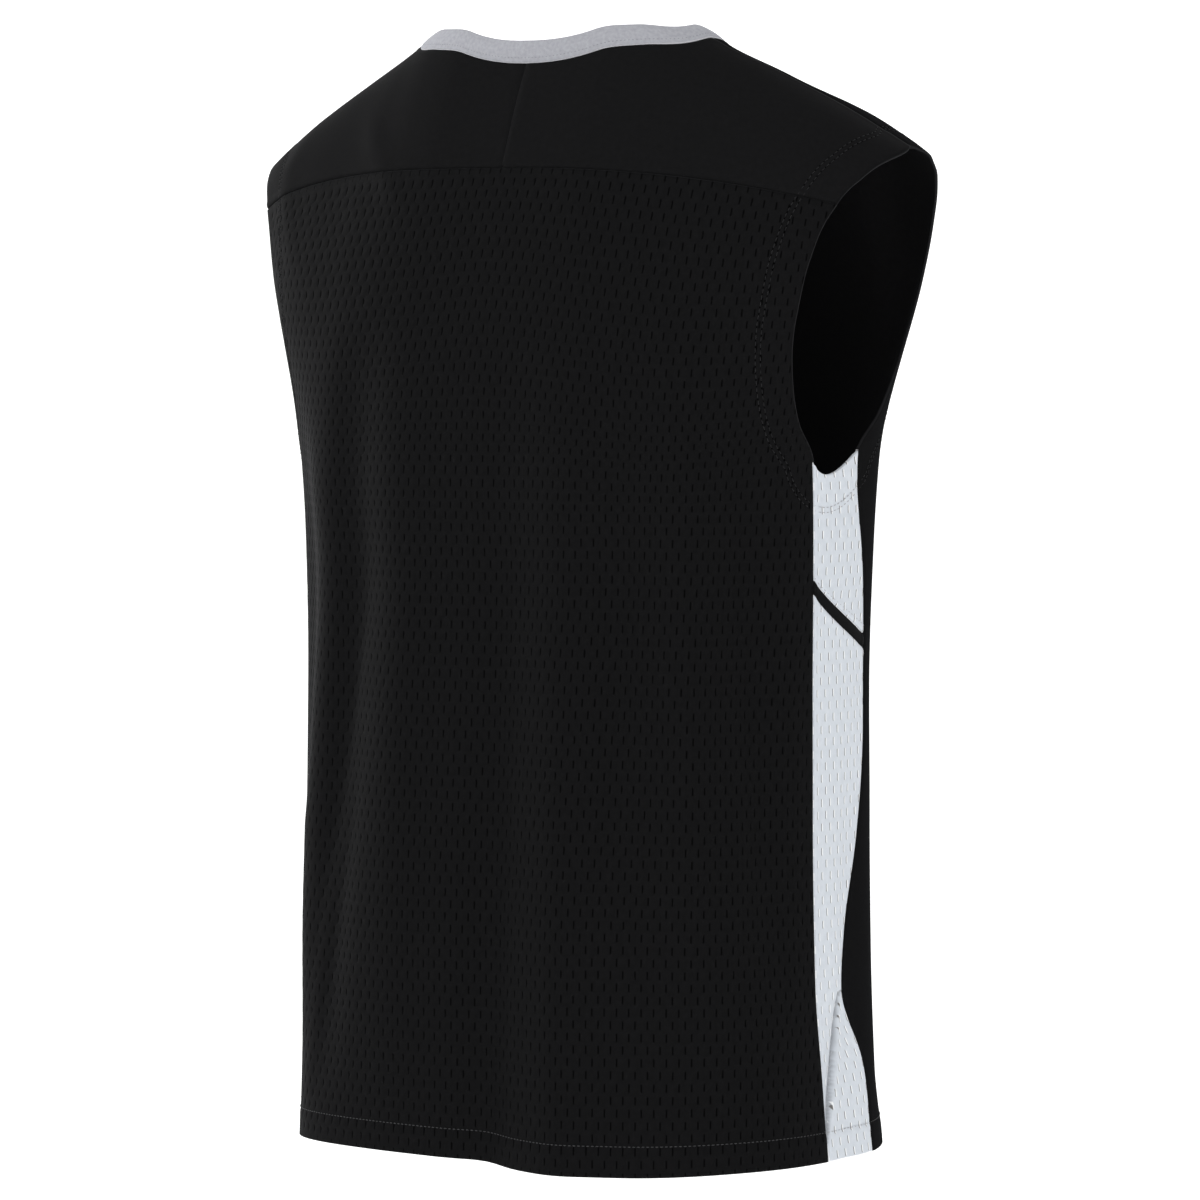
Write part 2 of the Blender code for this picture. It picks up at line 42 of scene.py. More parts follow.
# the form of the filled-out jersey, in metres, neck centre at the origin
body = {
    "hemHeight": -0.701,
    "archStart": -0.295,
    "centreY": -0.018,
    # height, half width, back depth, front depth, squareness across and in depth, front's own two
    "sections": (
        (-0.730, 0.196, 0.137, 0.132, 3.2, 2.4, 2.6, 2.5),
        (-0.650, 0.192, 0.137, 0.128, 3.2, 2.4, 2.5, 2.5),
        (-0.570, 0.190, 0.137, 0.126, 3.3, 2.4, 2.4, 2.5),
        (-0.490, 0.189, 0.134, 0.128, 3.3, 2.4, 2.5, 2.4),
        (-0.410, 0.189, 0.130, 0.126, 3.4, 2.4, 2.5, 2.4),
        (-0.340, 0.190, 0.127, 0.128, 3.4, 2.4, 2.6, 2.4),
        (-0.265, 0.192, 0.130, 0.134, 3.5, 2.4, 2.9, 2.4),
        (-0.190, 0.211, 0.134, 0.138, 3.5, 2.3, 3.3, 2.4),
        (-0.140, 0.235, 0.134, 0.137, 3.3, 2.2, 3.0, 2.3),
        (-0.100, 0.252, 0.134, 0.136, 3.1, 2.2, 2.7, 2.3),
        (-0.060, 0.264, 0.133, 0.135, 3.0, 2.2, 2.6, 2.2),
        (0.030, 0.290, 0.133, 0.133, 3.0, 2.2, 2.6, 2.2),
    ),
    # the shoulder seam: distance from the middle plane, height, y
    "ridge": (
        (0.000, 0.031, 0.000),
        (0.050, 0.031, 0.000),
        (0.078, 0.021, 0.000),
        (0.107, 0.000, 0.000),
        (0.150, -0.022, -0.010),
        (0.195, -0.046, -0.022),
        (0.233, -0.0695, -0.030),
        (0.310, -0.119, -0.034),
    ),
    # how full the arch to the shoulder is: distance from the middle plane, across, up
    "backArch": ((0.000, 1.77, 1.54), (0.120, 1.77, 1.54), (0.195, 2.10, 1.80), (0.242, 2.30, 2.00)),
    "frontArch": ((0.000, 2.00, 1.45), (0.100, 1.90, 1.42), (0.160, 2.00, 1.50), (0.195, 2.70, 2.40),
                  (0.242, 3.00, 2.70)),
    # side edges seen from the side: height, y
    "backCorner": -0.2635,
    "backEdge": ((-0.730, 0.000), (-0.650, 0.004), (-0.590, 0.009), (-0.450, 0.010), (-0.335, 0.011),
                 (-0.2635, 0.015), (-0.240, 0.031), (-0.210, 0.0425), (-0.175, 0.0475), (-0.140, 0.0445),
                 (-0.112, 0.034), (-0.092, 0.018), (-0.078, -0.004), (-0.0695, -0.030)),
    "frontCorner": -0.2575,
    "frontEdge": ((-0.730, -0.062), (-0.700, -0.057), (-0.645, -0.048), (-0.615, -0.031), (-0.593, -0.024),
                  (-0.560, -0.029), (-0.500, -0.044), (-0.430, -0.054), (-0.335, -0.050), (-0.2575, -0.036),
                  (-0.235, -0.060), (-0.214, -0.075), (-0.170, -0.089), (-0.134, -0.086), (-0.105, -0.076),
                  (-0.086, -0.063), (-0.074, -0.048), (-0.0695, -0.030)),
    # hem of the back: share of the half back (left above zero), drop
    "hemFade": 0.15,
    "hemDrop": ((-1.00, 0.000), (-0.75, 0.001), (-0.40, 0.004), (-0.15, 0.003), (0.00, 0.000),
                (0.60, -0.002), (1.00, 0.000)),
    # folds: top, bearing there, bottom, bearing there, half width, crest (bearing 0 is straight back)
    "folds": (
        (-0.17, 37.0, -0.68, 44.0, 0.019, -0.012),
        (-0.20, 21.0, -0.72, 23.0, 0.020, 0.003),
        (-0.15, 60.0, -0.50, 60.0, 0.035, -0.008),
        (-0.18, 64.0, -1.10, 64.0, 0.030, -0.010),
        (-0.18, -12.0, -1.10, 1.0, 0.020, -0.0085),
        (-0.18, -29.0, -1.10, -26.0, 0.022, 0.007),
        (-0.18, -40.0, -0.60, -41.0, 0.013, -0.004),
        (-0.14, -51.0, -0.62, -55.0, 0.016, 0.010),
        (-0.16, -64.0, -0.62, -71.0, 0.015, -0.007),
        (-0.08, 74.0, -0.25, 78.0, 0.040, -0.006),
        (-0.42, -96.0, -0.72, -90.0, 0.010, -0.0028),
        (-0.40, 95.0, -0.74, 91.0, 0.010, -0.0028),
        (-0.20, 148.0, -0.68, 140.0, 0.020, -0.009),
        (-0.16, 167.0, -1.10, 170.0, 0.024, 0.006),
        (-0.22, 178.0, -1.10, 183.0, 0.018, -0.006),
        (-0.18, -160.0, -1.10, -152.0, 0.022, 0.006),
        (-0.17, -146.0, -0.70, -140.0, 0.018, -0.008),
        (-0.20, 124.0, -0.64, 128.0, 0.017, 0.005),
        (-0.22, -124.0, -0.64, -124.0, 0.025, -0.004),
        (-0.655, -122.0, -0.745, -122.0, 0.030, 0.006),
        # finer creases: left shoulder blade, edge of the left valley, hidden ones on the front
        (-0.035, 68.0, -0.110, 36.0, 0.010, 0.0016),
        (-0.045, 82.0, -0.150, 62.0, 0.009, 0.0020),
        (-0.360, 34.0, -0.680, 50.0, 0.007, 0.0020),
        (-0.300, -47.0, -0.600, -38.0, 0.007, 0.0012),
        (-0.420, -66.0, -0.660, -58.0, 0.008, 0.0012),
        (-0.050, -70.0, -0.140, -52.0, 0.009, 0.0012),
        (-0.180, 152.0, -0.460, 163.0, 0.008, 0.0016),
        (-0.240, -150.0, -0.560, -141.0, 0.008, 0.0014),
        (-0.400, 171.0, -0.690, 160.0, 0.009, -0.0014),
    ),
    "reachPower": 1.7,
    "solveSteps": 20,
    "halvings": 30,
}


def smoothCurve(table, column, at):
    # a smooth curve through one column of a table, without overshoot
    places = np.array([row[0] for row in table])
    values = np.array([row[column] for row in table])
    step = np.diff(places)
    slope = np.diff(values) / step
    tangent = np.zeros_like(values)
    tangent[0], tangent[-1] = slope[0], slope[-1]
    sameWay = slope[:-1] * slope[1:] > 0
    weight = (slope[:-1] * step[1:] + slope[1:] * step[:-1]) / (step[1:] + step[:-1])
    limit = 3.0 * np.minimum(abs(slope[:-1]), abs(slope[1:]))
    tangent[1:-1] = np.where(sameWay, np.sign(weight) * np.minimum(abs(weight), limit), 0.0)
    at = np.clip(np.asarray(at, dtype=float), places[0], places[-1])
    left = np.clip(np.searchsorted(places, at) - 1, 0, len(step) - 1)
    t = (at - places[left]) / step[left]
    return ((2 * t**3 - 3 * t**2 + 1) * values[left]
            + (t**3 - 2 * t**2 + t) * step[left] * tangent[left]
            + (3 * t**2 - 2 * t**3) * values[left + 1]
            + (t**3 - t**2) * step[left] * tangent[left + 1])


def sectionAt(height, column):
    return smoothCurve(body["sections"], column, height)


def ridgeHeight(x):
    return smoothCurve(body["ridge"], 1, abs(x))


def ridgeY(x):
    return smoothCurve(body["ridge"], 2, abs(x))


def archPower(face, x, column):
    return smoothCurve(body["backArch"] if face > 0 else body["frontArch"], column, abs(x))


def halfX(face, turn, height):
    # face +1 is the back, -1 the front; turn runs from the centre line (0) to the side (90 degrees)
    across = sectionAt(height, 4 if face > 0 else 6)
    return sectionAt(height, 1) * np.sin(turn) ** (2.0 / across)


def heightAt(face, turn, level):
    # level is metres below the start of the arch, or the share of its quarter turn
    turn, level = np.broadcast_arrays(np.asarray(turn, float), np.asarray(level, float))
    start = body["archStart"]
    height = start + np.minimum(level, 0.0)
    climb = np.sin(np.clip(level, 0.0, 1.0) * math.pi / 2)
    for _ in range(body["solveSteps"]):
        x = halfX(face, turn, height)
        rise = climb ** (2.0 / archPower(face, x, 2))
        height = np.where(level > 0, start + (ridgeHeight(x) - start) * rise, height)
    return height


def levelAt(face, x, height):
    start = body["archStart"]
    rise = (height - start) / (ridgeHeight(x) - start)
    climb = np.clip(rise, 0.0, 1.0) ** (archPower(face, x, 2) / 2.0)
    return np.where(height > start, np.arcsin(climb) / (math.pi / 2), height - start)


def pulledY(face, turn, height):
    x = halfX(face, turn, height)
    start = body["archStart"]
    rise = np.clip((height - start) / (ridgeHeight(x) - start), 0.0, 1.0)
    pull = (1.0 - rise ** archPower(face, x, 2)) ** (1.0 / archPower(face, x, 1))
    depth = sectionAt(height, 2 if face > 0 else 3)
    side = sectionAt(height, 5 if face > 0 else 7)
    ring = body["centreY"] + face * depth * np.clip(np.cos(turn), 0.0, 1.0) ** (2.0 / side)
    return ridgeY(x) + (ring - ridgeY(x)) * pull


def foldOffset(bearing, radius, height):
    offset = np.zeros_like(height)
    for top, bearingTop, bottom, bearingBottom, halfWidth, crest in body["folds"]:
        along = (height - top) / (bottom - top)
        turned = (bearing - bearingTop - (bearingBottom - bearingTop) * along + 180.0) % 360.0 - 180.0
        away = np.radians(turned) * radius / halfWidth
        offset += crest * np.sin(math.pi * np.clip(along, 0.0, 1.0)) * np.exp(-away ** 2)
    return offset


def bodyPoint(face, side, turn, height):
    # side +1 is the wearer's left, -1 the right
    turn, height = np.broadcast_arrays(np.asarray(turn, float), np.asarray(height, float))
    x = side * halfX(face, turn, height)
    y = pulledY(face, turn, height)
    across = sectionAt(height, 4 if face > 0 else 6)
    squared = sectionAt(height, 5 if face > 0 else 7)
    depth = sectionAt(height, 2 if face > 0 else 3)
    outX = np.sin(turn) ** (2.0 - 2.0 / across) * across / sectionAt(height, 1)
    outY = np.clip(np.cos(turn), 0.0, 1.0) ** (2.0 - 2.0 / squared) * squared / depth
    size = np.hypot(outX, outY)
    bearing = np.degrees(np.arctan2(x, y - body["centreY"]))
    lift = foldOffset(bearing, np.hypot(x, y - body["centreY"]), height)
    return np.stack((x + side * lift * outX / size, y + face * lift * outY / size, height), -1)


def turnAtY(face, y, height):
    y, height = np.broadcast_arrays(np.asarray(y, float), np.asarray(height, float))
    low, high = np.zeros_like(height), np.full_like(height, math.pi / 2)
    for _ in range(body["halvings"]):
        middle = (low + high) / 2
        inside = (pulledY(face, middle, height) - y) * face > 0
        low, high = np.where(inside, middle, low), np.where(inside, high, middle)
    return (low + high) / 2


def turnAtX(face, x, height):
    across = sectionAt(height, 4 if face > 0 else 6)
    return np.arcsin(np.clip(x / sectionAt(height, 1), 0.0, 1.0) ** (across / 2.0))


# a place is a pair: reach (0 on the centre line, growing to the side) and level
def placeOf(turn, level):
    reach = np.asarray(turn, float) ** (1.0 / body["reachPower"])
    return np.stack(np.broadcast_arrays(reach, level), -1)


def pointsAt(face, side, places):
    turn = np.clip(places[..., 0], 0.0, None) ** body["reachPower"]
    return bodyPoint(face, side, turn, heightAt(face, turn, places[..., 1]))


def outwardAt(face, side, places, points):
    # unit normals of the cloth, pointing out of the jersey
    step = 0.004
    aside = pointsAt(face, side, places + np.array([step, 0.0])) - points
    below = pointsAt(face, side, places - np.array([0.0, step])) - points
    normal = np.cross(aside, below) * (face * side)
    return normal / np.maximum(np.linalg.norm(normal, axis=-1, keepdims=True), 1e-12)


def edgePlaces(face, heights):
    edge = body["backEdge"] if face > 0 else body["frontEdge"]
    tip = edge[-1][0]
    heights = np.asarray(heights, float)
    turn = turnAtY(face, smoothCurve(edge, 1, heights), heights)
    atTip = heights >= tip - 1e-6
    turn = np.where(atTip, turnAtX(face, neckline["tipX"], tip), turn)
    level = np.where(atTip, 1.0, levelAt(face, halfX(face, turn, heights), heights))
    return placeOf(turn, level)


def edgeHeights(face, low, high, shares):
    edge = body["backEdge"] if face > 0 else body["frontEdge"]
    heights = np.linspace(low, high, 160)
    length = lengthsOf(np.stack((heights, smoothCurve(edge, 1, heights)), -1))
    return np.interp(np.asarray(shares) * length[-1], length, heights)


def lengthsOf(points):
    steps = np.linalg.norm(np.diff(points, axis=-2), axis=-1)
    return np.concatenate((np.zeros((*steps.shape[:-1], 1)), np.cumsum(steps, axis=-1)), -1)


def levelRows(face, side, edges, levelOf, samples):
    # rows from the centre line to the edge places, evenly spaced on the cloth
    reach = np.linspace(0.0, 1.0, samples)[None] * edges[:, :1]
    share = np.repeat(np.linspace(0.0, 1.0, samples)[None], len(edges), 0)
    for _ in range(4):
        length = lengthsOf(pointsAt(face, side, np.stack((reach, levelOf(share, reach)), -1)))
        share = length / length[:, -1:]
    even = np.linspace(0.0, 1.0, samples)
    spread = np.array([np.interp(even, s, r) for s, r in zip(share, reach)])
    return np.stack((spread, levelOf(np.repeat(even[None], len(edges), 0), spread)), -1)


def lowerRows(face, side, heights, samples):
    edges = edgePlaces(face, heights)
    fade = np.clip((body["hemFade"] - heights + body["hemHeight"]) / body["hemFade"], 0.0, 1.0) ** 2

    def levelOf(share, reach):
        if face < 0:
            return np.repeat(edges[:, 1:], share.shape[1], 1)
        return edges[:, 1:] - fade[:, None] * smoothCurve(body["hemDrop"], 1, side * share)
    return levelRows(face, side, edges, levelOf, samples)


def patchRows(low, high, inner, outer):
    # places inside four edges; inner and outer have one place for each row
    u = np.linspace(0.0, 1.0, len(low))[None, :, None]
    v = np.linspace(0.0, 1.0, len(inner))[:, None, None]
    return patchAt(low, high, inner, outer, u, v)


def patchAt(low, high, inner, outer, u, v):
    corners = ((1 - u) * (1 - v) * low[0] + u * (1 - v) * low[-1]
               + (1 - u) * v * high[0] + u * v * high[-1])
    return (1 - v) * low[None] + v * high[None] + (1 - u) * inner[:, None] + u * outer[:, None] - corners


# the cut lines that pieces share
neckline = {
    "halfWidth": 0.107, "back": 0.0476, "front": 0.092, "square": 2.2,
    "neckShare": 10 / 18,    # share of the top row's columns that lie along the neckline
    "tipX": 0.233,
}
yokeSeam = {"centre": -0.0815, "edge": -0.1055, "power": {1: 3.2, -1: 2.2}}
band = {"backUpper": -0.3365, "backLower": -0.3455, "frontUpper": -0.374, "frontLower": -0.383}


def neckPlaces(face, shares):
    # neckline seam from the shoulder seam (share 0) to the centre line (share 1)
    angle = np.asarray(shares, float) * math.pi / 2
    x = neckline["halfWidth"] * np.cos(angle) ** (2.0 / neckline["square"])
    reach = neckline["back"] if face > 0 else neckline["front"]
    y = face * reach * np.sin(angle) ** (2.0 / neckline["square"])
    low, high = np.full_like(x, body["archStart"]), ridgeHeight(x)
    for _ in range(body["halvings"]):
        middle = (low + high) / 2
        above = (y - pulledY(face, turnAtX(face, x, middle), middle)) * face > 0
        low, high = np.where(above, low, middle), np.where(above, middle, high)
    return placeOf(turnAtX(face, x, middle), levelAt(face, x, middle))


def topRow(face, shares):
    # along the neckline, then the shoulder seam, from the centre line to the shoulder's tip
    cut = neckline["neckShare"]
    shares = np.asarray(shares, float)
    neck = neckPlaces(face, 1.0 - np.clip(shares / cut, 0.0, 1.0))
    x = neckline["halfWidth"] + (neckline["tipX"] - neckline["halfWidth"]) * (shares - cut) / (1 - cut)
    x = np.maximum(x, neckline["halfWidth"])
    shoulder = placeOf(turnAtX(face, x, ridgeHeight(x)), 1.0)
    return np.where((shares < cut)[:, None], neck, shoulder)


def yokeRow(side, samples):
    def levelOf(share, reach):
        drop = yokeSeam["edge"] - yokeSeam["centre"]
        height = yokeSeam["centre"] + drop * share ** yokeSeam["power"][side]
        return levelAt(1, halfX(1, reach ** body["reachPower"], height), height)
    return levelRows(1, side, edgePlaces(1, [yokeSeam["edge"]]), levelOf, samples)[0]


# cloth
cloth = {
    "wall": 0.0015,          # knit cloth
    "sewnGap": 0.00006,      # between the edges of sewn cloth
    "rollWidth": 0.0030,     # the cloth rises, then turns in, beside a seam
    "rollRise": 0.00035,
    "rollTurn": 0.0008,
    "rollPower": 2.5,
    "hemTurn": 0.0185,       # stitched depth of the turned hem
    "armholeTurn": 0.0205,   # and of the turned armholes
    "turnLift": 0.0004,      # a turned edge is double
    "turnSoft": 0.0012,      # over which it falls off
    "groove": 0.0016,        # half width of the groove at its stitches
    "grooveShare": 0.8,
}
dents = {
    "pitch": 0.00775, "row": 0.0076, "width": 0.0013, "length": 0.0056, "depth": 0.0005,
    "sidePitch": 0.0103, "sideDepth": 0.00035, "sideEnd": 0.0009,
}


def seamRoll(distance):
    # lift of the cloth at a distance from a sewn edge
    near = np.clip(1.0 - distance / cloth["rollWidth"], 0.0, 1.0)
    hump = cloth["rollRise"] * np.sin(math.pi * np.clip(distance / (2 * cloth["rollWidth"]), 0.0, 1.0))
    return hump - cloth["rollTurn"] * near ** cloth["rollPower"]


def turnedLift(distance, depth):
    # a turned edge stands a little proud, with a soft groove at its stitches
    inside = 1.0 / (1.0 + np.exp((distance - depth) / cloth["turnSoft"]))
    groove = np.exp(-((distance - depth) / cloth["groove"]) ** 2)
    return cloth["turnLift"] * (inside - cloth["grooveShare"] * groove)


def clothSheet(name, points, uv, edgeDistance, turned=None):
    # a grid whose vertices are moved to the places of the cloth, given a wall
    middle = np.array([0.0, body["centreY"], 0.0])
    rows, columns = points.shape[0] - 1, points.shape[1] - 1
    r, c = rows // 2, columns // 2
    normal = np.cross(points[r, c + 1] - points[r, c], points[r + 1, c] - points[r, c])
    away = points[r, c] - middle
    if normal[0] * away[0] + normal[1] * away[1] < 0:
        points, uv, edgeDistance = points[:, ::-1], uv[:, ::-1], edgeDistance[:, ::-1]
        turned = turned[:, ::-1] if turned is not None else None
    bpy.ops.mesh.primitive_grid_add(x_subdivisions=columns, y_subdivisions=rows, size=1)
    sheet = bpy.context.object
    sheet.name = name
    mesh = sheet.data
    flat = np.empty(len(mesh.vertices) * 3)
    mesh.vertices.foreach_get("co", flat)
    flat = flat.reshape(-1, 3)
    column = np.rint((flat[:, 0] + 0.5) * columns).astype(int)
    row = np.rint((flat[:, 1] + 0.5) * rows).astype(int)
    corner = np.empty(len(mesh.loops), dtype=np.int32)
    mesh.loops.foreach_get("vertex_index", corner)
    mesh.uv_layers.active.data.foreach_set("uv", uv[row, column][corner].astype(np.float32).ravel())
    mesh.vertices.foreach_set("co", points[row, column].astype(np.float32).ravel())
    # the distance to the nearest edge, which the materials use for a painted highlight along the edges
    edge = mesh.attributes.new("edgeDistance", "FLOAT", "POINT")
    edge.data.foreach_set("value", edgeDistance[row, column].astype(np.float32))
    # turned is the painted shade beside a crease, kept as the creaseShade attribute
    if turned is not None:
        shade = mesh.attributes.new("creaseShade", "FLOAT", "POINT")
        shade.data.foreach_set("value", turned[row, column].astype(np.float32))
    mesh.update()
    bpy.ops.object.mode_set(mode="EDIT")
    bpy.ops.mesh.select_all(action="SELECT")
    bpy.ops.mesh.remove_doubles(threshold=0.00002)
    bpy.ops.object.mode_set(mode="OBJECT")
    bpy.ops.object.shade_smooth()
    thick = sheet.modifiers.new("wall", "SOLIDIFY")
    thick.thickness = cloth["wall"]
    thick.offset = 0.0
    bpy.ops.object.modifier_apply(modifier=thick.name)
    sheet.select_set(False)
    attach(sheet, "root")
    return sheet


# back: dimpled mesh from the hem to the yoke seam
def backRows(side, along, samples):
    # places of the back's rows; along is metres above the hem on the centre line
    lowerLength = body["backCorner"] - body["hemHeight"]
    lowerHeights = body["hemHeight"] + np.minimum(along, lowerLength)
    rows = lowerRows(1, side, lowerHeights, samples)
    low = lowerRows(1, side, np.array([body["backCorner"]]), samples)[0]
    high = yokeRow(side, samples)
    share = np.clip((along - lowerLength) / backPanel["upperLength"], 0.0, 1.0)
    outer = edgePlaces(1, edgeHeights(1, body["backCorner"], yokeSeam["edge"], share))
    inner = low[0] + (high[0] - low[0]) * share[:, None]
    u = np.linspace(0.0, 1.0, samples)[None, :, None]
    upper = patchAt(low, high, inner, outer, u, share[:, None, None])
    return np.where((along > lowerLength)[:, None, None], upper, rows)


def armholeDistance(points, edge):
    # nearest distance from each point to the armhole's edge
    distance = np.full(points.shape[:-1], 9.0)
    for spot in edge:
        distance = np.minimum(distance, np.linalg.norm(points - spot, axis=-1))
    return distance


backPanel = {
    "upperLength": 0.1875,   # underarm corner's row to the yoke seam, on the centre line
    "halfSlits": 34,         # columns of dents on each side of the centre line
    "slitHalf": 0.00095,     # half width of a dent's groove in the mesh
    "samples": 161,
    "firstRow": 0.0040,      # plain strip below the first row of dents
    "lastRow": 0.003,        # and above the last one
    "lip": 0.0015,           # undented strip along each edge
    "slitToLip": 0.0022,     # dents nearer to the lip are left out
    "columnToLip": 0.0006,   # columns nearer to it are set on it
}
backLength = body["backCorner"] - body["hemHeight"] + backPanel["upperLength"]


def buildBack():
    reachUp = dents["length"] / 2
    rowCount = int((backLength - backPanel["firstRow"] - backPanel["lastRow"]) / dents["row"])
    centres = backPanel["firstRow"] + dents["row"] * (np.arange(rowCount) + 0.5)
    along, slitRow, deep = [0.0, backPanel["lip"]], [0, 0], [0.0, 0.0]
    for k, centre in enumerate(centres):
        along += [centre - reachUp, centre, centre + reachUp]
        slitRow += [k, k, k]
        deep += [0.0, 1.0, 0.0]
    along += [backLength - backPanel["lip"], backLength]
    slitRow += [rowCount - 1, rowCount - 1]
    deep += [0.0, 0.0]
    along, slitRow, deep = np.array(along), np.array(slitRow), np.array(deep)
    halves = {}
    for side in (1, -1):
        rows = backRows(side, along, backPanel["samples"])
        length = lengthsOf(pointsAt(1, side, rows))
        places, distances, sunk = [], [], []
        for r in range(len(along)):
            odd = slitRow[r] % 2
            first = 0.5 - 0.5 * odd
            slits = (np.arange(backPanel["halfSlits"] + 1) + first) * dents["pitch"]
            reach = slits[:, None] + np.array([-1, 0, 1]) * backPanel["slitHalf"]
            depth = np.where(np.arange(3) == 1, deep[r], 0.0) + np.zeros_like(reach)
            reach, depth = reach.ravel(), depth.ravel()
            if odd:
                reach, depth = reach[1:], depth[1:]
            else:
                reach, depth = np.append([0.0], reach), np.append([0.0], depth)
            reach, depth = reach[:3 * backPanel["halfSlits"]], depth[:3 * backPanel["halfSlits"]]
            end = length[r, -1] - cloth["sewnGap"] / 2
            lip = end - backPanel["lip"]
            depth = np.where(reach > lip - backPanel["slitToLip"], 0.0, depth)
            reach = np.where(reach > lip - backPanel["columnToLip"], lip, reach)
            reach = np.append(reach, end)
            depth = np.append(depth, 0.0)
            places.append(np.stack((np.interp(reach, length[r], rows[r, :, 0]),
                                    np.interp(reach, length[r], rows[r, :, 1])), -1))
            distances.append(reach)
            sunk.append(depth)
        places, distances, sunk = np.array(places), np.array(distances), np.array(sunk)
        points = pointsAt(1, side, places)
        normals = outwardAt(1, side, places, points)
        toSide = length[:, -1:] - distances
        lift = -dents["depth"] * sunk
        sewn = (along <= body["backCorner"] - body["hemHeight"])[:, None]
        lift += np.where(sewn, seamRoll(toSide), turnedLift(toSide, cloth["armholeTurn"]))
        lift += seamRoll(backLength - along)[:, None]
        lift += turnedLift(along, cloth["hemTurn"])[:, None]
        points = points + normals * lift[..., None]
        uv = np.stack(np.broadcast_arrays(side * distances, (along - backPanel["firstRow"])[:, None]), -1)
        rim = np.minimum(toSide, np.minimum(backLength - along, along)[:, None])
        halves[side] = (points, uv, rim)
    points, uv, rim = (np.concatenate((right[:, ::-1], left[:, 1:]), 1)
                       for left, right in zip(halves[1], halves[-1]))
    sheet = clothSheet("BackPanel", points, uv, rim)
    print("back panel:", sum(len(p.vertices) - 2 for p in sheet.data.polygons), "triangles")
    return sheet


# yoke halves: smooth knit from the yoke seam to the shoulder seams
yokePanel = {"columns": 84, "rows": 44, "seamDip": 0.0003}


def yokeEdges(side, columns, rows):
    shares = np.linspace(0.0, 1.0, columns + 1)
    low, high = yokeRow(side, columns + 1), topRow(1, shares)
    v = np.linspace(0.0, 1.0, rows + 1)
    tip = body["backEdge"][-1][0]
    outer = edgePlaces(1, edgeHeights(1, yokeSeam["edge"], tip, v))
    inner = low[0] + (high[0] - low[0]) * v[:, None]
    return low, high, inner, outer


def pullRims(points, edges):
    # the named edges stand half a seam gap back
    points = points.copy()
    for edge in edges:
        rim, inner = {"low": (0, 1), "high": (-1, -2), "first": (0, 1), "last": (-1, -2)}[edge]
        grid = points if edge in ("low", "high") else np.swapaxes(points, 0, 1)
        step = grid[inner] - grid[rim]
        size = np.maximum(np.linalg.norm(step, axis=-1, keepdims=True), 1e-9)
        grid[rim] += step / size * cloth["sewnGap"] / 2
    return points


def gridDistances(points):
    # distance of each grid point from the first and last row and column, measured on the cloth
    across = lengthsOf(points)
    up = np.swapaxes(lengthsOf(np.swapaxes(points, 0, 1)), 0, 1)
    return up, up[-1:] - up, across, across[:, -1:] - across


def buildYoke(side, name):
    places = patchRows(*yokeEdges(side, yokePanel["columns"], yokePanel["rows"]))
    points = pointsAt(1, side, places)
    normals = outwardAt(1, side, places, points)
    fromLow, fromHigh, fromCentre, fromArmhole = gridDistances(points)
    lift = seamRoll(fromLow) + seamRoll(fromHigh) - yokePanel["seamDip"] * (fromCentre < 0.00001)
    lift = lift + turnedLift(fromArmhole, cloth["armholeTurn"])
    points = points + normals * lift[..., None]
    points = pullRims(points, ("low", "high", "first"))
    uv = np.stack((fromCentre * side, fromLow), -1)
    sheet = clothSheet(name, points, uv, np.minimum(fromArmhole, fromHigh))
    print("yoke half:", name, len(sheet.data.polygons), "faces")
    return sheet


# front: one smooth panel from the hem to the shoulder seams
frontPanel = {"columns": 66, "lowerRows": 80, "upperRows": 66}


def frontPlaces(side, columns, lowerCount, upperCount):
    heights = np.linspace(body["hemHeight"], body["frontCorner"], lowerCount + 1)
    rows = lowerRows(-1, side, heights, columns + 1)
    shares = np.linspace(0.0, 1.0, columns + 1)
    v = np.linspace(0.0, 1.0, upperCount + 1)
    tip = body["frontEdge"][-1][0]
    outer = edgePlaces(-1, edgeHeights(-1, body["frontCorner"], tip, v))
    high = topRow(-1, shares)
    inner = rows[-1, 0] + (high[0] - rows[-1, 0]) * v[:, None]
    upper = patchRows(rows[-1], high, inner, outer)
    return np.concatenate((rows, upper[1:]))


def buildFront():
    halves = {}
    for side in (1, -1):
        places = frontPlaces(side, frontPanel["columns"], frontPanel["lowerRows"], frontPanel["upperRows"])
        points = pointsAt(-1, side, places)
        normals = outwardAt(-1, side, places, points)
        fromHem, fromTop, fromCentre, fromSide = gridDistances(points)
        sewn = np.arange(len(points))[:, None] <= frontPanel["lowerRows"]
        lift = np.where(sewn, seamRoll(fromSide), turnedLift(fromSide, cloth["armholeTurn"]))
        lift = lift + seamRoll(fromTop) + turnedLift(fromHem, cloth["hemTurn"])
        points = pullRims(points + normals * lift[..., None], ("high", "last"))
        rim = np.minimum(np.minimum(fromHem, fromTop), fromSide)
        halves[side] = (points, np.stack((fromCentre * side, fromHem), -1), rim)
    points, uv, rim = (np.concatenate((right[:, ::-1], left[:, 1:]), 1)
                       for left, right in zip(halves[1], halves[-1]))
    sheet = clothSheet("FrontPanel", points, uv, rim)
    print("front panel:", len(sheet.data.polygons), "faces")
    return sheet


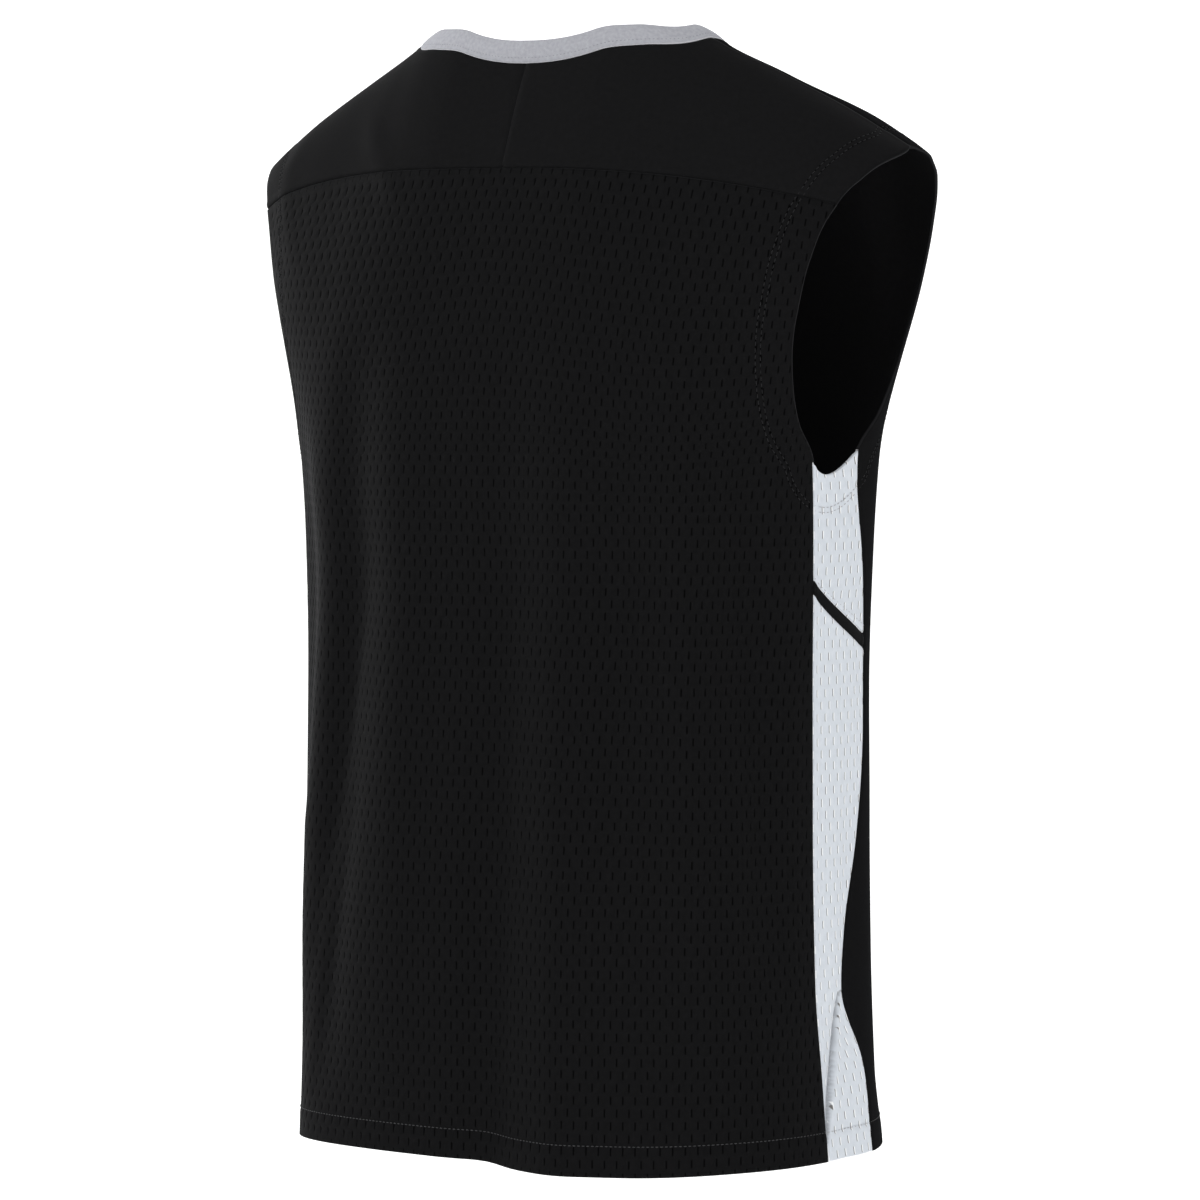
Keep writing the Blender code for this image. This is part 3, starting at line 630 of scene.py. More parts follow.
# side panels: white mesh above and below a slanting black band
sidePanel = {
    "columns": 76,
    "rowStep": 0.0012,
    "underarmDip": 0.0106,
    "bandBow": 0.25,         # the slanting seams sag below a straight line
    "notchHeight": -0.595,   # the front seam comes nearest to the back seam here
    "notchWidth": 0.033,
    "creaseFoot": -0.690,    # a crease runs from the notch down to the back seam
    "creaseDepth": 0.0055,   # how deep the cloth sinks at the crease
    "creaseWidth": 0.0011,   # over which it steps up in front
    "creaseEase": 8.0,       # times that width, over which it sinks behind
    "creaseClear": 0.0025,   # no dents are sunk this near
    # reach of the painted shade behind and in front of the crease, and its full-strength core
    "shadeBehind": 0.0045, "shadeInFront": 0.0006, "creaseCore": 0.0007,
    "skew": 0.66,            # the underarm is lowest nearer to the back seam
    "dipPower": 1.25,
}


def sideRowHeights(low, high, share):
    # heights at the back and at the front seam, at shares of the way from low to high
    return low[0] + (high[0] - low[0]) * share, low[1] + (high[1] - low[1]) * share


def sidePoints(side, low, high, rowCount, dip):
    share = np.linspace(0.0, 1.0, rowCount + 1)
    back, frontHeights = sideRowHeights(low, high, share)
    u = np.linspace(0.0, 1.0, sidePanel["columns"] + 1)[None]
    bow = sidePanel["bandBow"] * (1.0 - share if dip else np.ones_like(share))
    height = back[:, None] + (frontHeights - back)[:, None] * u ** (1.0 - bow[:, None])
    skew = u ** sidePanel["skew"]
    height = height - dip * (4 * skew * (1 - skew)) ** sidePanel["dipPower"] * (share[:, None] ** 2)
    yBack = smoothCurve(body["backEdge"], 1, back)[:, None]
    yFront = smoothCurve(body["frontEdge"], 1, frontHeights)[:, None]
    y = yBack + (yFront - yBack) * u
    points = np.zeros((*y.shape, 3))
    for face in (1, -1):
        here = y > body["centreY"] if face > 0 else y <= body["centreY"]
        turn = turnAtY(face, y, height)
        points[here] = bodyPoint(face, side, turn, height)[here]
    return points


def sideNormals(points, side):
    normals = np.cross(np.gradient(points, axis=1), np.gradient(points, axis=0))
    normals /= np.linalg.norm(normals, axis=-1, keepdims=True)
    return normals * np.sign(normals[..., :1] * side)


def sideLattice(points, fromBack, fromFront):
    # cloth coordinates of the dents: along the back seam, and below the notch also along the front seam
    height = points[..., 2]
    run = sidePanel["notchHeight"] - sidePanel["creaseFoot"]
    below = np.clip((sidePanel["notchHeight"] - height) / run, 0.0, 1.0)
    crease = sidePanel["notchWidth"] * (1.0 - below)
    followsFront = (height < sidePanel["notchHeight"]) & (fromBack > crease)
    across = np.where(followsFront, sidePanel["notchWidth"] - fromFront, fromBack)
    away = fromBack - crease
    # the cloth sinks towards the crease over a centimetre, then steps up to the part in front
    near = away / sidePanel["creaseWidth"]
    drop = np.exp(np.minimum(near, 0.0) / sidePanel["creaseEase"]) * np.clip(1.0 - near, 0.0, 1.0)
    fold = drop * np.sin(math.pi * np.clip(below, 0.0, 1.0)) ** 0.5
    slanting = (below > 0.0) & (below < 1.0)
    beside = np.where(slanting, np.abs(away), 1.0)
    # soft painted shade behind the crease, where the cloth turns away from the light
    fading = np.where(away < 0.0, away / sidePanel["shadeBehind"], -away / sidePanel["shadeInFront"])
    turned = np.exp(fading) * np.sin(math.pi * below) ** 0.5
    turned = np.where(np.abs(away) < sidePanel["creaseCore"], 1.0, turned)
    return across, height - body["hemHeight"], fold, beside, np.where(slanting, turned, 0.0)


def dentMask(across, up, pitch):
    row = np.floor(up / dents["row"])
    slide = across / pitch + 0.5 * (row % 2)
    x = (slide - np.floor(slide) - 0.5) * pitch
    y = (up / dents["row"] - row - 0.5) * dents["row"]
    wide = np.clip(1.0 - np.abs(x) / dents["width"], 0.0, 1.0)
    tall = np.clip((dents["length"] / 2 - np.abs(y)) / dents["sideEnd"], 0.0, 1.0)
    return wide * tall


def buildSide(side, name, low, high, kind, edges, dip=0.0):
    rowCount = max(6, int((high[0] - low[0]) / sidePanel["rowStep"]))
    points = sidePoints(side, low, high, rowCount, dip)
    normals = sideNormals(points, side)
    fromLow, fromHigh, fromBack, fromFront = gridDistances(points)
    across, up, fold, beside, turned = sideLattice(points, fromBack, fromFront)
    lift = seamRoll(fromBack) + seamRoll(fromFront)
    if kind == "mesh":
        clear = np.clip(beside / sidePanel["creaseClear"] - 0.4, 0.0, 1.0)
        dented = dentMask(across, up, dents["sidePitch"]) * clear
        lift = lift - dents["sideDepth"] * dented - sidePanel["creaseDepth"] * fold
    lift = lift + (seamRoll(fromLow) if "low" in edges else turnedLift(fromLow, cloth["hemTurn"]))
    lift = lift + (seamRoll(fromHigh) if "high" in edges else turnedLift(fromHigh, cloth["armholeTurn"]))
    points = pullRims(points + normals * lift[..., None], (*edges, "first", "last"))
    uv = np.stack((across, up), -1)
    rim = np.minimum(np.minimum(fromBack, fromFront), fromLow)
    sheet = clothSheet(name, points, uv, rim, turned)
    print("side panel:", name, len(sheet.data.polygons), "faces")
    return sheet


# collar: one folded ring of rib
collar = {
    "height": 0.0155, "wall": 0.0022, "around": 288, "profile": 20,
    # lean towards the neck in degrees, from the centre front (-1) to the centre back (1)
    "lean": ((-1.0, 35.0), (-0.5, 48.0), (0.0, 58.0), (0.5, 30.0), (1.0, 4.0)),
    "backDrop": 0.06,        # the band is this share lower at the centre back
    "crown": 0.0007,
    "sunk": 0.0003,          # how far the foot stands below the seam
    "corner": 0.28, "ends": 0.75,   # squareness of the band's profile
}


def collarRing(count):
    # neckline all round, where each point lies (-1 front to 1 back), and the band's upward direction
    quarter = count // 4
    steps = np.arange(quarter) / quarter
    parts = []
    for face, side, share in ((1, -1, steps), (1, 1, 1 - steps), (-1, 1, steps), (-1, -1, 1 - steps)):
        places = neckPlaces(face, share)
        points = pointsAt(face, side, places)
        parts.append((points, outwardAt(face, side, places, points), face * share))
    foot = np.concatenate([part[0] for part in parts])
    normal = np.concatenate([part[1] for part in parts])
    where = np.concatenate([part[2] for part in parts])
    lean = np.radians(smoothCurve(collar["lean"], 1, where))
    inward = -foot[:, :2] / np.linalg.norm(foot[:, :2], axis=-1, keepdims=True)
    upward = np.concatenate((inward * np.sin(lean)[:, None], np.cos(lean)[:, None]), -1)
    onward = np.roll(foot, -1, 0) - np.roll(foot, 1, 0)
    across = np.cross(onward, upward)
    across /= np.linalg.norm(across, axis=-1, keepdims=True)
    outside = (across[:, :2] * -inward).sum(-1, keepdims=True) + across[:, 2:] * np.sin(lean)[:, None]
    across *= np.sign(outside)
    return foot, upward, across, where


def buildCollar():
    count, profile = collar["around"], collar["profile"]
    foot, upward, across, where = collarRing(count)
    bpy.ops.mesh.primitive_torus_add(major_segments=count, minor_segments=profile,
                                     major_radius=0.1, minor_radius=0.01)
    ring = bpy.context.object
    ring.name = "Collar"
    mesh = ring.data
    flat = np.empty(len(mesh.vertices) * 3)
    mesh.vertices.foreach_get("co", flat)
    flat = flat.reshape(-1, 3)
    around = np.rint(np.degrees(np.arctan2(flat[:, 1], flat[:, 0])) / (360 / count)).astype(int) % count
    turn = np.arctan2(flat[:, 2], np.hypot(flat[:, 0], flat[:, 1]) - 0.1)
    # rounded rectangle: the torus's outer side is the band's outer face
    out = np.sign(np.cos(turn)) * np.abs(np.cos(turn)) ** collar["corner"] * collar["wall"] / 2
    rise = (0.5 + 0.5 * np.sign(np.sin(turn)) * np.abs(np.sin(turn)) ** collar["ends"]) * collar["height"]
    out += collar["crown"] * np.sin(math.pi * rise / collar["height"])
    shrink = 1.0 - collar["backDrop"] * np.clip((where[around] - 0.25) / 0.5, 0.0, 1.0)
    raised = upward[around] * (rise * shrink - collar["sunk"])[:, None]
    points = foot[around] + raised + across[around] * out[:, None]
    mesh.vertices.foreach_set("co", points.astype(np.float32).ravel())
    length = np.append(0.0, np.cumsum(np.linalg.norm(np.diff(foot, axis=0), axis=-1)))
    corner = np.empty(len(mesh.loops), dtype=np.int32)
    mesh.loops.foreach_get("vertex_index", corner)
    uv = np.stack((length[around], rise), -1)
    mesh.uv_layers.active.data.foreach_set("uv", uv[corner].astype(np.float32).ravel())
    # the height up the band, which the collar's material uses for a painted highlight along its foot
    edge = mesh.attributes.new("edgeDistance", "FLOAT", "POINT")
    edge.data.foreach_set("value", rise.astype(np.float32))
    mesh.update()
    bpy.ops.object.mode_set(mode="EDIT")
    bpy.ops.mesh.select_all(action="SELECT")
    bpy.ops.mesh.normals_make_consistent(inside=False)
    bpy.ops.object.mode_set(mode="OBJECT")
    bpy.ops.object.shade_smooth()
    ring.select_set(False)
    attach(ring, "root")
    print("collar:", len(mesh.polygons), "faces")
    return ring


# stitches
stitch = {
    "pitch": 0.0041, "long": 0.0028, "thick": 0.00055, "hole": 0.0010,
    "hemPitch": 0.0029, "hemLong": 0.0020,
    "neckPitch": 0.0026, "neckSize": (0.0014, 0.0006, 0.0006),
    "neckAbove": 0.0032,     # up the collar from its seam
    "bandBack": 0.0012, "bandFront": 0.0055,   # row above the slanting band, at its back and front end
    "twin": 0.0032,          # between the two rows of a twin needle
}


def stitchRows(name, lines, pitch, size, slot, phase=0.0):
    # one small rounded stitch, copied along each line of (points, normals), then joined
    bpy.ops.mesh.primitive_uv_sphere_add(segments=6, ring_count=4, radius=0.5)
    first = bpy.context.object
    bpy.ops.object.shade_smooth()
    copies = []
    for points, normals in lines:
        length = lengthsOf(points)
        places = np.arange(pitch * (0.5 + phase), length[-1] - pitch * 0.3, pitch)
        spots = np.stack([np.interp(places, length, points[:, k]) for k in range(3)], -1)
        aheads = np.stack([np.interp(places + pitch / 3, length, points[:, k]) for k in range(3)], -1)
        ups = np.stack([np.interp(places, length, normals[:, k]) for k in range(3)], -1)
        for spot, ahead, up in zip(spots, aheads, ups):
            along = Vector(ahead - spot).normalized()
            lift = Vector(up)
            lift = (lift - along * lift.dot(along)).normalized()
            sides = (along * size[0], lift.cross(along) * size[1], lift * size[2])
            turn = Matrix(sides).transposed().to_4x4()
            copy = first.copy()
            copy.data = first.data.copy()
            copy.data.transform(Matrix.Translation(spot) @ turn)
            bpy.context.scene.collection.objects.link(copy)
            copies.append(copy)
    bpy.data.objects.remove(first, do_unlink=True)
    bpy.ops.object.select_all(action="DESELECT")
    for copy in copies:
        copy.select_set(True)
    row = copies[0]
    bpy.context.view_layer.objects.active = row
    bpy.ops.object.join()
    row.name = name
    row.select_set(False)
    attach(row, "root")
    return row


def insetLine(points, normals, edge, distance, byColumn=False, above=0.0):
    # the line on a grid of cloth that keeps a distance to the armhole's edge
    if byColumn:
        points, normals = np.swapaxes(points, 0, 1), np.swapaxes(normals, 0, 1)
    away = armholeDistance(points, edge)
    lineP, lineN = [], []
    for row in range(len(points)):
        inside = np.nonzero(away[row] < distance)[0]
        if len(inside) == 0 or inside[0] == 0:
            continue
        k = inside[0]
        t = (away[row, k - 1] - distance) / (away[row, k - 1] - away[row, k])
        lineP.append(points[row, k - 1] + (points[row, k] - points[row, k - 1]) * t)
        lineN.append(normals[row, k])
    return np.array(lineP), np.array(lineN)


def armholeEdge(side):
    # the whole rim of an armhole, as points
    backHeights = edgeHeights(1, body["backCorner"], body["backEdge"][-1][0], np.linspace(0, 1, 60))
    frontHeights = edgeHeights(-1, body["frontCorner"], body["frontEdge"][-1][0], np.linspace(0, 1, 60))
    backRim = pointsAt(1, side, edgePlaces(1, backHeights))
    frontRim = pointsAt(-1, side, edgePlaces(-1, frontHeights))
    low = (band["backUpper"], band["frontUpper"])
    high = (body["backCorner"], body["frontCorner"])
    under = sidePoints(side, low, high, 40, sidePanel["underarmDip"])[-1]
    return np.concatenate((backRim, frontRim, under))


def armholeLines(side, distance):
    edge = armholeEdge(side)
    lines = []
    along = np.linspace(body["backCorner"] - body["hemHeight"] - 0.05, backLength, 90)
    places = backRows(side, along, 121)
    points = pointsAt(1, side, places)
    lines.append(insetLine(points, outwardAt(1, side, places, points), edge, distance))
    places = patchRows(*yokeEdges(side, 120, 70))
    points = pointsAt(1, side, places)
    lines.append(insetLine(points, outwardAt(1, side, places, points), edge, distance))
    places = frontPlaces(side, 120, 90, 120)
    points = pointsAt(-1, side, places)
    lines.append(insetLine(points, outwardAt(-1, side, places, points), edge, distance))
    low = (band["backUpper"], band["frontUpper"])
    high = (body["backCorner"], body["frontCorner"])
    points = sidePoints(side, low, high, 90, sidePanel["underarmDip"])
    under = insetLine(points, sideNormals(points, side), edge, distance, byColumn=True)
    return lines, under


def panelLine(points, side):
    return points[0], sideNormals(points, side)[0]


def buildStitches():
    made = []
    lift = cloth["wall"] / 2 + 0.00005
    proud = lift + 0.0002
    black, pale, hem = [], [], []
    turnHeight = body["hemHeight"] + cloth["hemTurn"]
    slant = (band["backUpper"] + stitch["bandBack"], band["frontUpper"] + stitch["bandFront"])
    for side in (1, -1):
        for distance in (cloth["armholeTurn"], cloth["armholeTurn"] + stitch["twin"]):
            lines, under = armholeLines(side, distance)
            black += [(p + n * lift, n) for p, n in lines if len(p) > 3]
            if len(under[0]) > 3:
                pale.append((under[0] + under[1] * lift, under[1]))
        for (backHeight, frontHeight), height in (((turnHeight, turnHeight), proud), (slant, lift + 0.0001)):
            above = (backHeight + 0.004, frontHeight + 0.004)
            strip, out = panelLine(sidePoints(side, (backHeight, frontHeight), above, 2, 0.0), side)
            pale.append((strip + out * height, out))
        backPlaces = backRows(side, np.array([cloth["hemTurn"], cloth["hemTurn"] + 0.001]), 161)
        frontPlacesHere = lowerRows(-1, side, np.array([turnHeight, body["hemHeight"] + 0.03]), 161)
        for face, places in ((1, backPlaces), (-1, frontPlacesHere)):
            points = pointsAt(face, side, places)
            out = outwardAt(face, side, places, points)[0]
            hem.append((points[0] + out * proud, out))
    foot, upward, across, _ = collarRing(collar["around"])
    line = foot + upward * stitch["neckAbove"] + across * (collar["wall"] / 2 + 0.0003)
    ring = [(np.append(line, line[:1], 0), np.append(across, across[:1], 0))]
    thick = stitch["thick"]
    longSize, hemSize = (stitch["long"], thick, thick), (stitch["hemLong"], thick, thick)
    # near-black discs between the stitches paint the shade in the needle holes
    hole = (stitch["hole"], stitch["hole"], 0.0004)
    for name, lines, pitch, size, slot, phase in (
            ("ArmholeStitches", black, stitch["pitch"], longSize, "black_knit", 0.0),
            ("UnderarmStitches", pale, stitch["pitch"], longSize, "white_mesh", 0.0),
            ("NeedleHoleShades", black, stitch["pitch"], hole, "black_knit", 0.5),
            ("CollarStitches", ring, stitch["neckPitch"], stitch["neckSize"], "grey_rib", 0.0),
            ("HemStitches", hem, stitch["hemPitch"], hemSize, "grey_rib", 0.0)):
        made.append(stitchRows(name, lines, pitch, size, slot, phase))
    print("stitches:", sum(len(row.data.polygons) for row in made), "faces")
    return made


# materials
def newMaterial(name, roughness):
    material = bpy.data.materials.new(name)
    material.use_nodes = True
    material.node_tree.nodes["Principled BSDF"].inputs["Roughness"].default_value = roughness
    return material


def groupSocket(group, name, inOut, kind, value=None):
    socket = group.interface.new_socket(name=name, in_out=inOut, socket_type=kind)
    if value is not None:
        socket.default_value = value
    return socket


class NodeDesk:
    # short ways to add and join nodes in one tree
    def __init__(self, tree):
        self.tree = tree

    def put(self, kind, **settings):
        node = self.tree.nodes.new(kind)
        for key, value in settings.items():
            setattr(node, key, value)
        return node

    def join(self, source, target):
        self.tree.links.new(source, target)

    def math(self, operation, a, b=None, c=None):
        node = self.put("ShaderNodeMath", operation=operation)
        for socket, value in zip(node.inputs, (a, b, c)):
            if value is None:
                continue
            if isinstance(value, (int, float)):
                socket.default_value = value
            else:
                self.join(value, socket)
        return node.outputs[0]

    def limit(self, value):
        return self.math("MINIMUM", self.math("MAXIMUM", value, 0.0), 1.0)


def dentGroup():
    # mask of small upright slits in offset rows, from cloth coordinates in metres
    group = bpy.data.node_groups.new("slitRows", "ShaderNodeTree")
    groupSocket(group, "Cloth", "INPUT", "NodeSocketVector")
    groupSocket(group, "Pitch", "INPUT", "NodeSocketFloat", dents["pitch"])
    groupSocket(group, "Row", "INPUT", "NodeSocketFloat", dents["row"])
    groupSocket(group, "Width", "INPUT", "NodeSocketFloat", dents["width"])
    groupSocket(group, "Length", "INPUT", "NodeSocketFloat", dents["length"])
    groupSocket(group, "Slit", "OUTPUT", "NodeSocketFloat")
    groupSocket(group, "Lip", "OUTPUT", "NodeSocketFloat")
    desk = NodeDesk(group)
    inlet = desk.put("NodeGroupInput")
    outlet = desk.put("NodeGroupOutput")
    split = desk.put("ShaderNodeSeparateXYZ")
    desk.join(inlet.outputs["Cloth"], split.inputs[0])
    up = desk.math("DIVIDE", split.outputs["Y"], inlet.outputs["Row"])
    row = desk.math("FLOOR", up)
    odd = desk.math("FLOORED_MODULO", row, 2.0)
    across = desk.math("DIVIDE", split.outputs["X"], inlet.outputs["Pitch"])
    slid = desk.math("MULTIPLY_ADD", odd, 0.5, across)
    x = desk.math("SUBTRACT", desk.math("FRACT", slid), 0.5)
    x = desk.math("MULTIPLY", x, inlet.outputs["Pitch"])
    y = desk.math("SUBTRACT", desk.math("FRACT", up), 0.5)
    y = desk.math("MULTIPLY", desk.math("ABSOLUTE", y), inlet.outputs["Row"])
    soft = 0.00035
    halfLength = desk.math("MULTIPLY", inlet.outputs["Length"], 0.5)
    tall = desk.math("DIVIDE", desk.math("SUBTRACT", halfLength, y), soft * 2)
    tall = desk.limit(tall)
    halfWidth = desk.math("MULTIPLY", inlet.outputs["Width"], 0.5)
    wide = desk.math("DIVIDE", desk.math("SUBTRACT", halfWidth, desk.math("ABSOLUTE", x)), soft)
    wide = desk.limit(wide)
    desk.join(desk.math("MULTIPLY", wide, tall), outlet.inputs["Slit"])
    # a strip along one side of each slit, which the materials paint as a highlight
    beside = desk.math("SUBTRACT", x, desk.math("MULTIPLY", inlet.outputs["Width"], 0.75))
    lip = desk.math("DIVIDE", desk.math("SUBTRACT", soft * 1.6, desk.math("ABSOLUTE", beside)), soft)
    lip = desk.limit(lip)
    desk.join(desk.math("MULTIPLY", lip, tall), outlet.inputs["Lip"])
    return group


def knitGroup():
    # fine knit: small offset loops as height, and a soft cloudiness
    group = bpy.data.node_groups.new("fineKnit", "ShaderNodeTree")
    groupSocket(group, "Cloth", "INPUT", "NodeSocketVector")
    groupSocket(group, "Loop", "INPUT", "NodeSocketFloat", 0.0009)
    groupSocket(group, "Clouds", "INPUT", "NodeSocketFloat", 200.0)
    groupSocket(group, "Height", "OUTPUT", "NodeSocketFloat")
    groupSocket(group, "Cloud", "OUTPUT", "NodeSocketFloat")
    desk = NodeDesk(group)
    inlet = desk.put("NodeGroupInput")
    outlet = desk.put("NodeGroupOutput")
    split = desk.put("ShaderNodeSeparateXYZ")
    desk.join(inlet.outputs["Cloth"], split.inputs[0])
    turn = desk.math("DIVIDE", 2 * math.pi, inlet.outputs["Loop"])
    sx = desk.math("SINE", desk.math("MULTIPLY", split.outputs["X"], turn))
    sy = desk.math("SINE", desk.math("MULTIPLY", split.outputs["Y"], turn))
    weave = desk.math("MULTIPLY", sx, sy)
    noise = desk.put("ShaderNodeTexNoise")
    noise.inputs["Scale"].default_value = 900.0
    noise.inputs["Detail"].default_value = 2.0
    desk.join(inlet.outputs["Cloth"], noise.inputs["Vector"])
    height = desk.math("MULTIPLY_ADD", weave, 0.35, noise.outputs["Fac"])
    desk.join(height, outlet.inputs["Height"])
    cloud = desk.put("ShaderNodeTexNoise")
    desk.join(inlet.outputs["Clouds"], cloud.inputs["Scale"])
    cloud.inputs["Detail"].default_value = 3.0
    desk.join(inlet.outputs["Cloth"], cloud.inputs["Vector"])
    desk.join(cloud.outputs["Fac"], outlet.inputs["Cloud"])
    return group


def mixColour(desk, factor, dark, light):
    mix = desk.put("ShaderNodeMix", data_type="RGBA")
    desk.join(factor, mix.inputs["Factor"])
    for name, value in (("A", dark), ("B", light)):
        socket = next(s for s in mix.inputs if s.name == name and s.type == "RGBA")
        if isinstance(value, tuple):
            socket.default_value = (*value, 1)
        else:
            desk.join(value, socket)
    return next(s for s in mix.outputs if s.type == "RGBA")


def finishCloth(material, look, knit, slits=None, pitch=None):
    desk = NodeDesk(material.node_tree)
    shader = material.node_tree.nodes["Principled BSDF"]
    for socket, key in (("Sheen Weight", "sheen"), ("Sheen Roughness", "sheenRoughness"),
                        ("Specular IOR Level", "specular")):
        shader.inputs[socket].default_value = look[key]
    shader.inputs["Sheen Tint"].default_value = (*look["sheenTint"], 1)
    coordinates = desk.put("ShaderNodeTexCoord")
    fine = desk.put("ShaderNodeGroup", node_tree=knit)
    fine.inputs["Loop"].default_value = look["loop"]
    fine.inputs["Clouds"].default_value = look["cloud"]
    desk.join(coordinates.outputs["UV"], fine.inputs["Cloth"])
    cloud = desk.put("ShaderNodeMapRange")
    cloud.inputs["From Min"].default_value = 0.3
    cloud.inputs["From Max"].default_value = 0.7
    desk.join(fine.outputs["Cloud"], cloud.inputs["Value"])
    colour = mixColour(desk, cloud.outputs["Result"], look["dark"], look["light"])
    height = desk.math("MULTIPLY", fine.outputs["Height"], look["grain"])
    if slits is not None:
        rows = desk.put("ShaderNodeGroup", node_tree=slits)
        rows.inputs["Pitch"].default_value = pitch
        desk.join(coordinates.outputs["UV"], rows.inputs["Cloth"])
        seen = rows.outputs["Slit"]
        # painted shade beside the side panel's crease: a grey mixed in by the creaseShade attribute, with the
        # slits left out where it is strong
        if "crease" in look:
            turned = desk.put("ShaderNodeAttribute", attribute_name="creaseShade").outputs["Fac"]
            plain = desk.put("ShaderNodeMapRange")
            plain.inputs["From Min"].default_value = 0.80
            plain.inputs["From Max"].default_value = 0.55
            desk.join(turned, plain.inputs["Value"])
            seen = desk.math("MULTIPLY", seen, plain.outputs["Result"])
            colour = mixColour(desk, turned, colour, look["crease"])
        # painted shade in the slits, and a painted highlight along one side of each where the look has a lip
        # colour
        colour = mixColour(desk, seen, colour, look["slit"])
        if "lip" in look:
            colour = mixColour(desk, rows.outputs["Lip"], colour, look["lip"])
        height = desk.math("MULTIPLY_ADD", seen, -look["sink"], height)
    # a painted highlight along the cloth's edges, where a folded edge catches the light, from the
    # edgeDistance attribute
    if "rim" in look:
        edge = desk.put("ShaderNodeAttribute", attribute_name="edgeDistance")
        paintedEdgeHighlight = desk.put("ShaderNodeMapRange")
        paintedEdgeHighlight.inputs["From Min"].default_value = look["rimWidth"]
        paintedEdgeHighlight.inputs["From Max"].default_value = look["rimWidth"] * 0.4
        desk.join(edge.outputs["Fac"], paintedEdgeHighlight.inputs["Value"])
        colour = mixColour(desk, paintedEdgeHighlight.outputs["Result"], colour, look["rim"])
    desk.join(colour, shader.inputs["Base Color"])
    bump = desk.put("ShaderNodeBump")
    bump.inputs["Strength"].default_value = 0.6
    bump.inputs["Distance"].default_value = 1.0
    desk.join(height, bump.inputs["Height"])
    desk.join(bump.outputs["Normal"], shader.inputs["Normal"])


# what a look doesn't state is as here
plainLook = {"sheen": 0.02, "sheenRoughness": 0.5, "sheenTint": (1, 1, 1), "specular": 0.1, "loop": 0.0006,
             "grain": 0.00005, "cloud": 300.0}
blackSheen = {"sheen": 0.015, "sheenRoughness": 0.25, "sheenTint": (0.9, 0.93, 1.0)}
# the rim colour of the knits is a painted highlight along their edges
blackKnit = {**blackSheen, "rim": (0.016, 0.016, 0.017), "rimWidth": 0.0006, "loop": 0.0009, "grain": 0.00008}
looks = {
    # black mesh: painted shade in its slits, and a painted highlight along its edges
    "blackMesh": {**blackSheen, "dark": (0.0051, 0.0051, 0.0054), "light": (0.0063, 0.0063, 0.0067),
                  "slit": (0.0010, 0.0010, 0.0011), "rim": (0.020, 0.020, 0.021), "rimWidth": 0.0007,
                  "specular": 0.02, "loop": 0.0011, "grain": 0.00010, "cloud": 250.0, "sink": 0.0003},
    "blackKnit": {**blackKnit, "dark": (0.0063, 0.0063, 0.0066), "light": (0.0077, 0.0077, 0.0081),
                  "specular": 0.012},
    # white mesh: painted shade in its slits, a painted highlight along one side of each, painted shade beside
    # the side panel's crease, and a painted highlight along its edges
    "whiteMesh": {"dark": (0.57, 0.605, 0.65), "light": (0.625, 0.66, 0.705), "slit": (0.16, 0.155, 0.15),
                  "lip": (0.88, 0.89, 0.90), "crease": (0.40, 0.42, 0.45), "rim": (0.95, 0.95, 0.96),
                  "rimWidth": 0.0009, "loop": 0.0011, "grain": 0.00012, "cloud": 200.0, "sink": 0.0003},
    # grey rib: a painted highlight along the collar's foot
    "greyRib": {"dark": (0.310, 0.313, 0.340), "light": (0.375, 0.380, 0.410), "rim": (0.60, 0.60, 0.63),
                "rimWidth": 0.0007, "loop": 0.0013, "grain": 0.0002, "cloud": 420.0},
    "thread": {"dark": (0.007, 0.007, 0.008), "light": (0.012, 0.012, 0.013), "sheen": 0.1,
               "sheenRoughness": 0.3, "specular": 0.25},
    "hemThread": {"dark": (0.040, 0.040, 0.042), "light": (0.060, 0.060, 0.063), "sheen": 0.1,
                  "sheenRoughness": 0.4, "specular": 0.3},
    "neckThread": {"dark": (0.20, 0.20, 0.22), "light": (0.25, 0.25, 0.27), "sheen": 0.05, "specular": 0.2},
    "paleThread": {"dark": (0.34, 0.34, 0.36), "light": (0.42, 0.42, 0.44), "sheen": 0.05, "specular": 0.3},
    # near-black discs: painted shade in the needle holes
    "hole": {"dark": (0.0008, 0.0008, 0.0008), "light": (0.0012, 0.0012, 0.0012), "sheen": 0.0,
             "specular": 0.0, "grain": 0.0},
    # the knit of blackKnit, painted a little lighter and without gloss, for how the light falls on the front
    # panel
    "frontKnitPaintedLight": {**blackKnit, "dark": (0.0066, 0.0066, 0.0069), "light": (0.0081, 0.0081, 0.0085),
                  "specular": 0.0},
}


def dress(piece, material):
    piece.data.materials.clear()
    piece.data.materials.append(material)


# build
knit, slits = knitGroup(), dentGroup()
materials = {}
for name, look in looks.items():
    look = {**plainLook, **look}
    materials[name] = newMaterial(name, 0.7 if "Knit" in name or "black" in name else 0.8)
    pitch = {"blackMesh": dents["pitch"], "whiteMesh": dents["sidePitch"]}.get(name)
    finishCloth(materials[name], look, knit, slits if pitch else None, pitch)
print("materials:", len(materials))

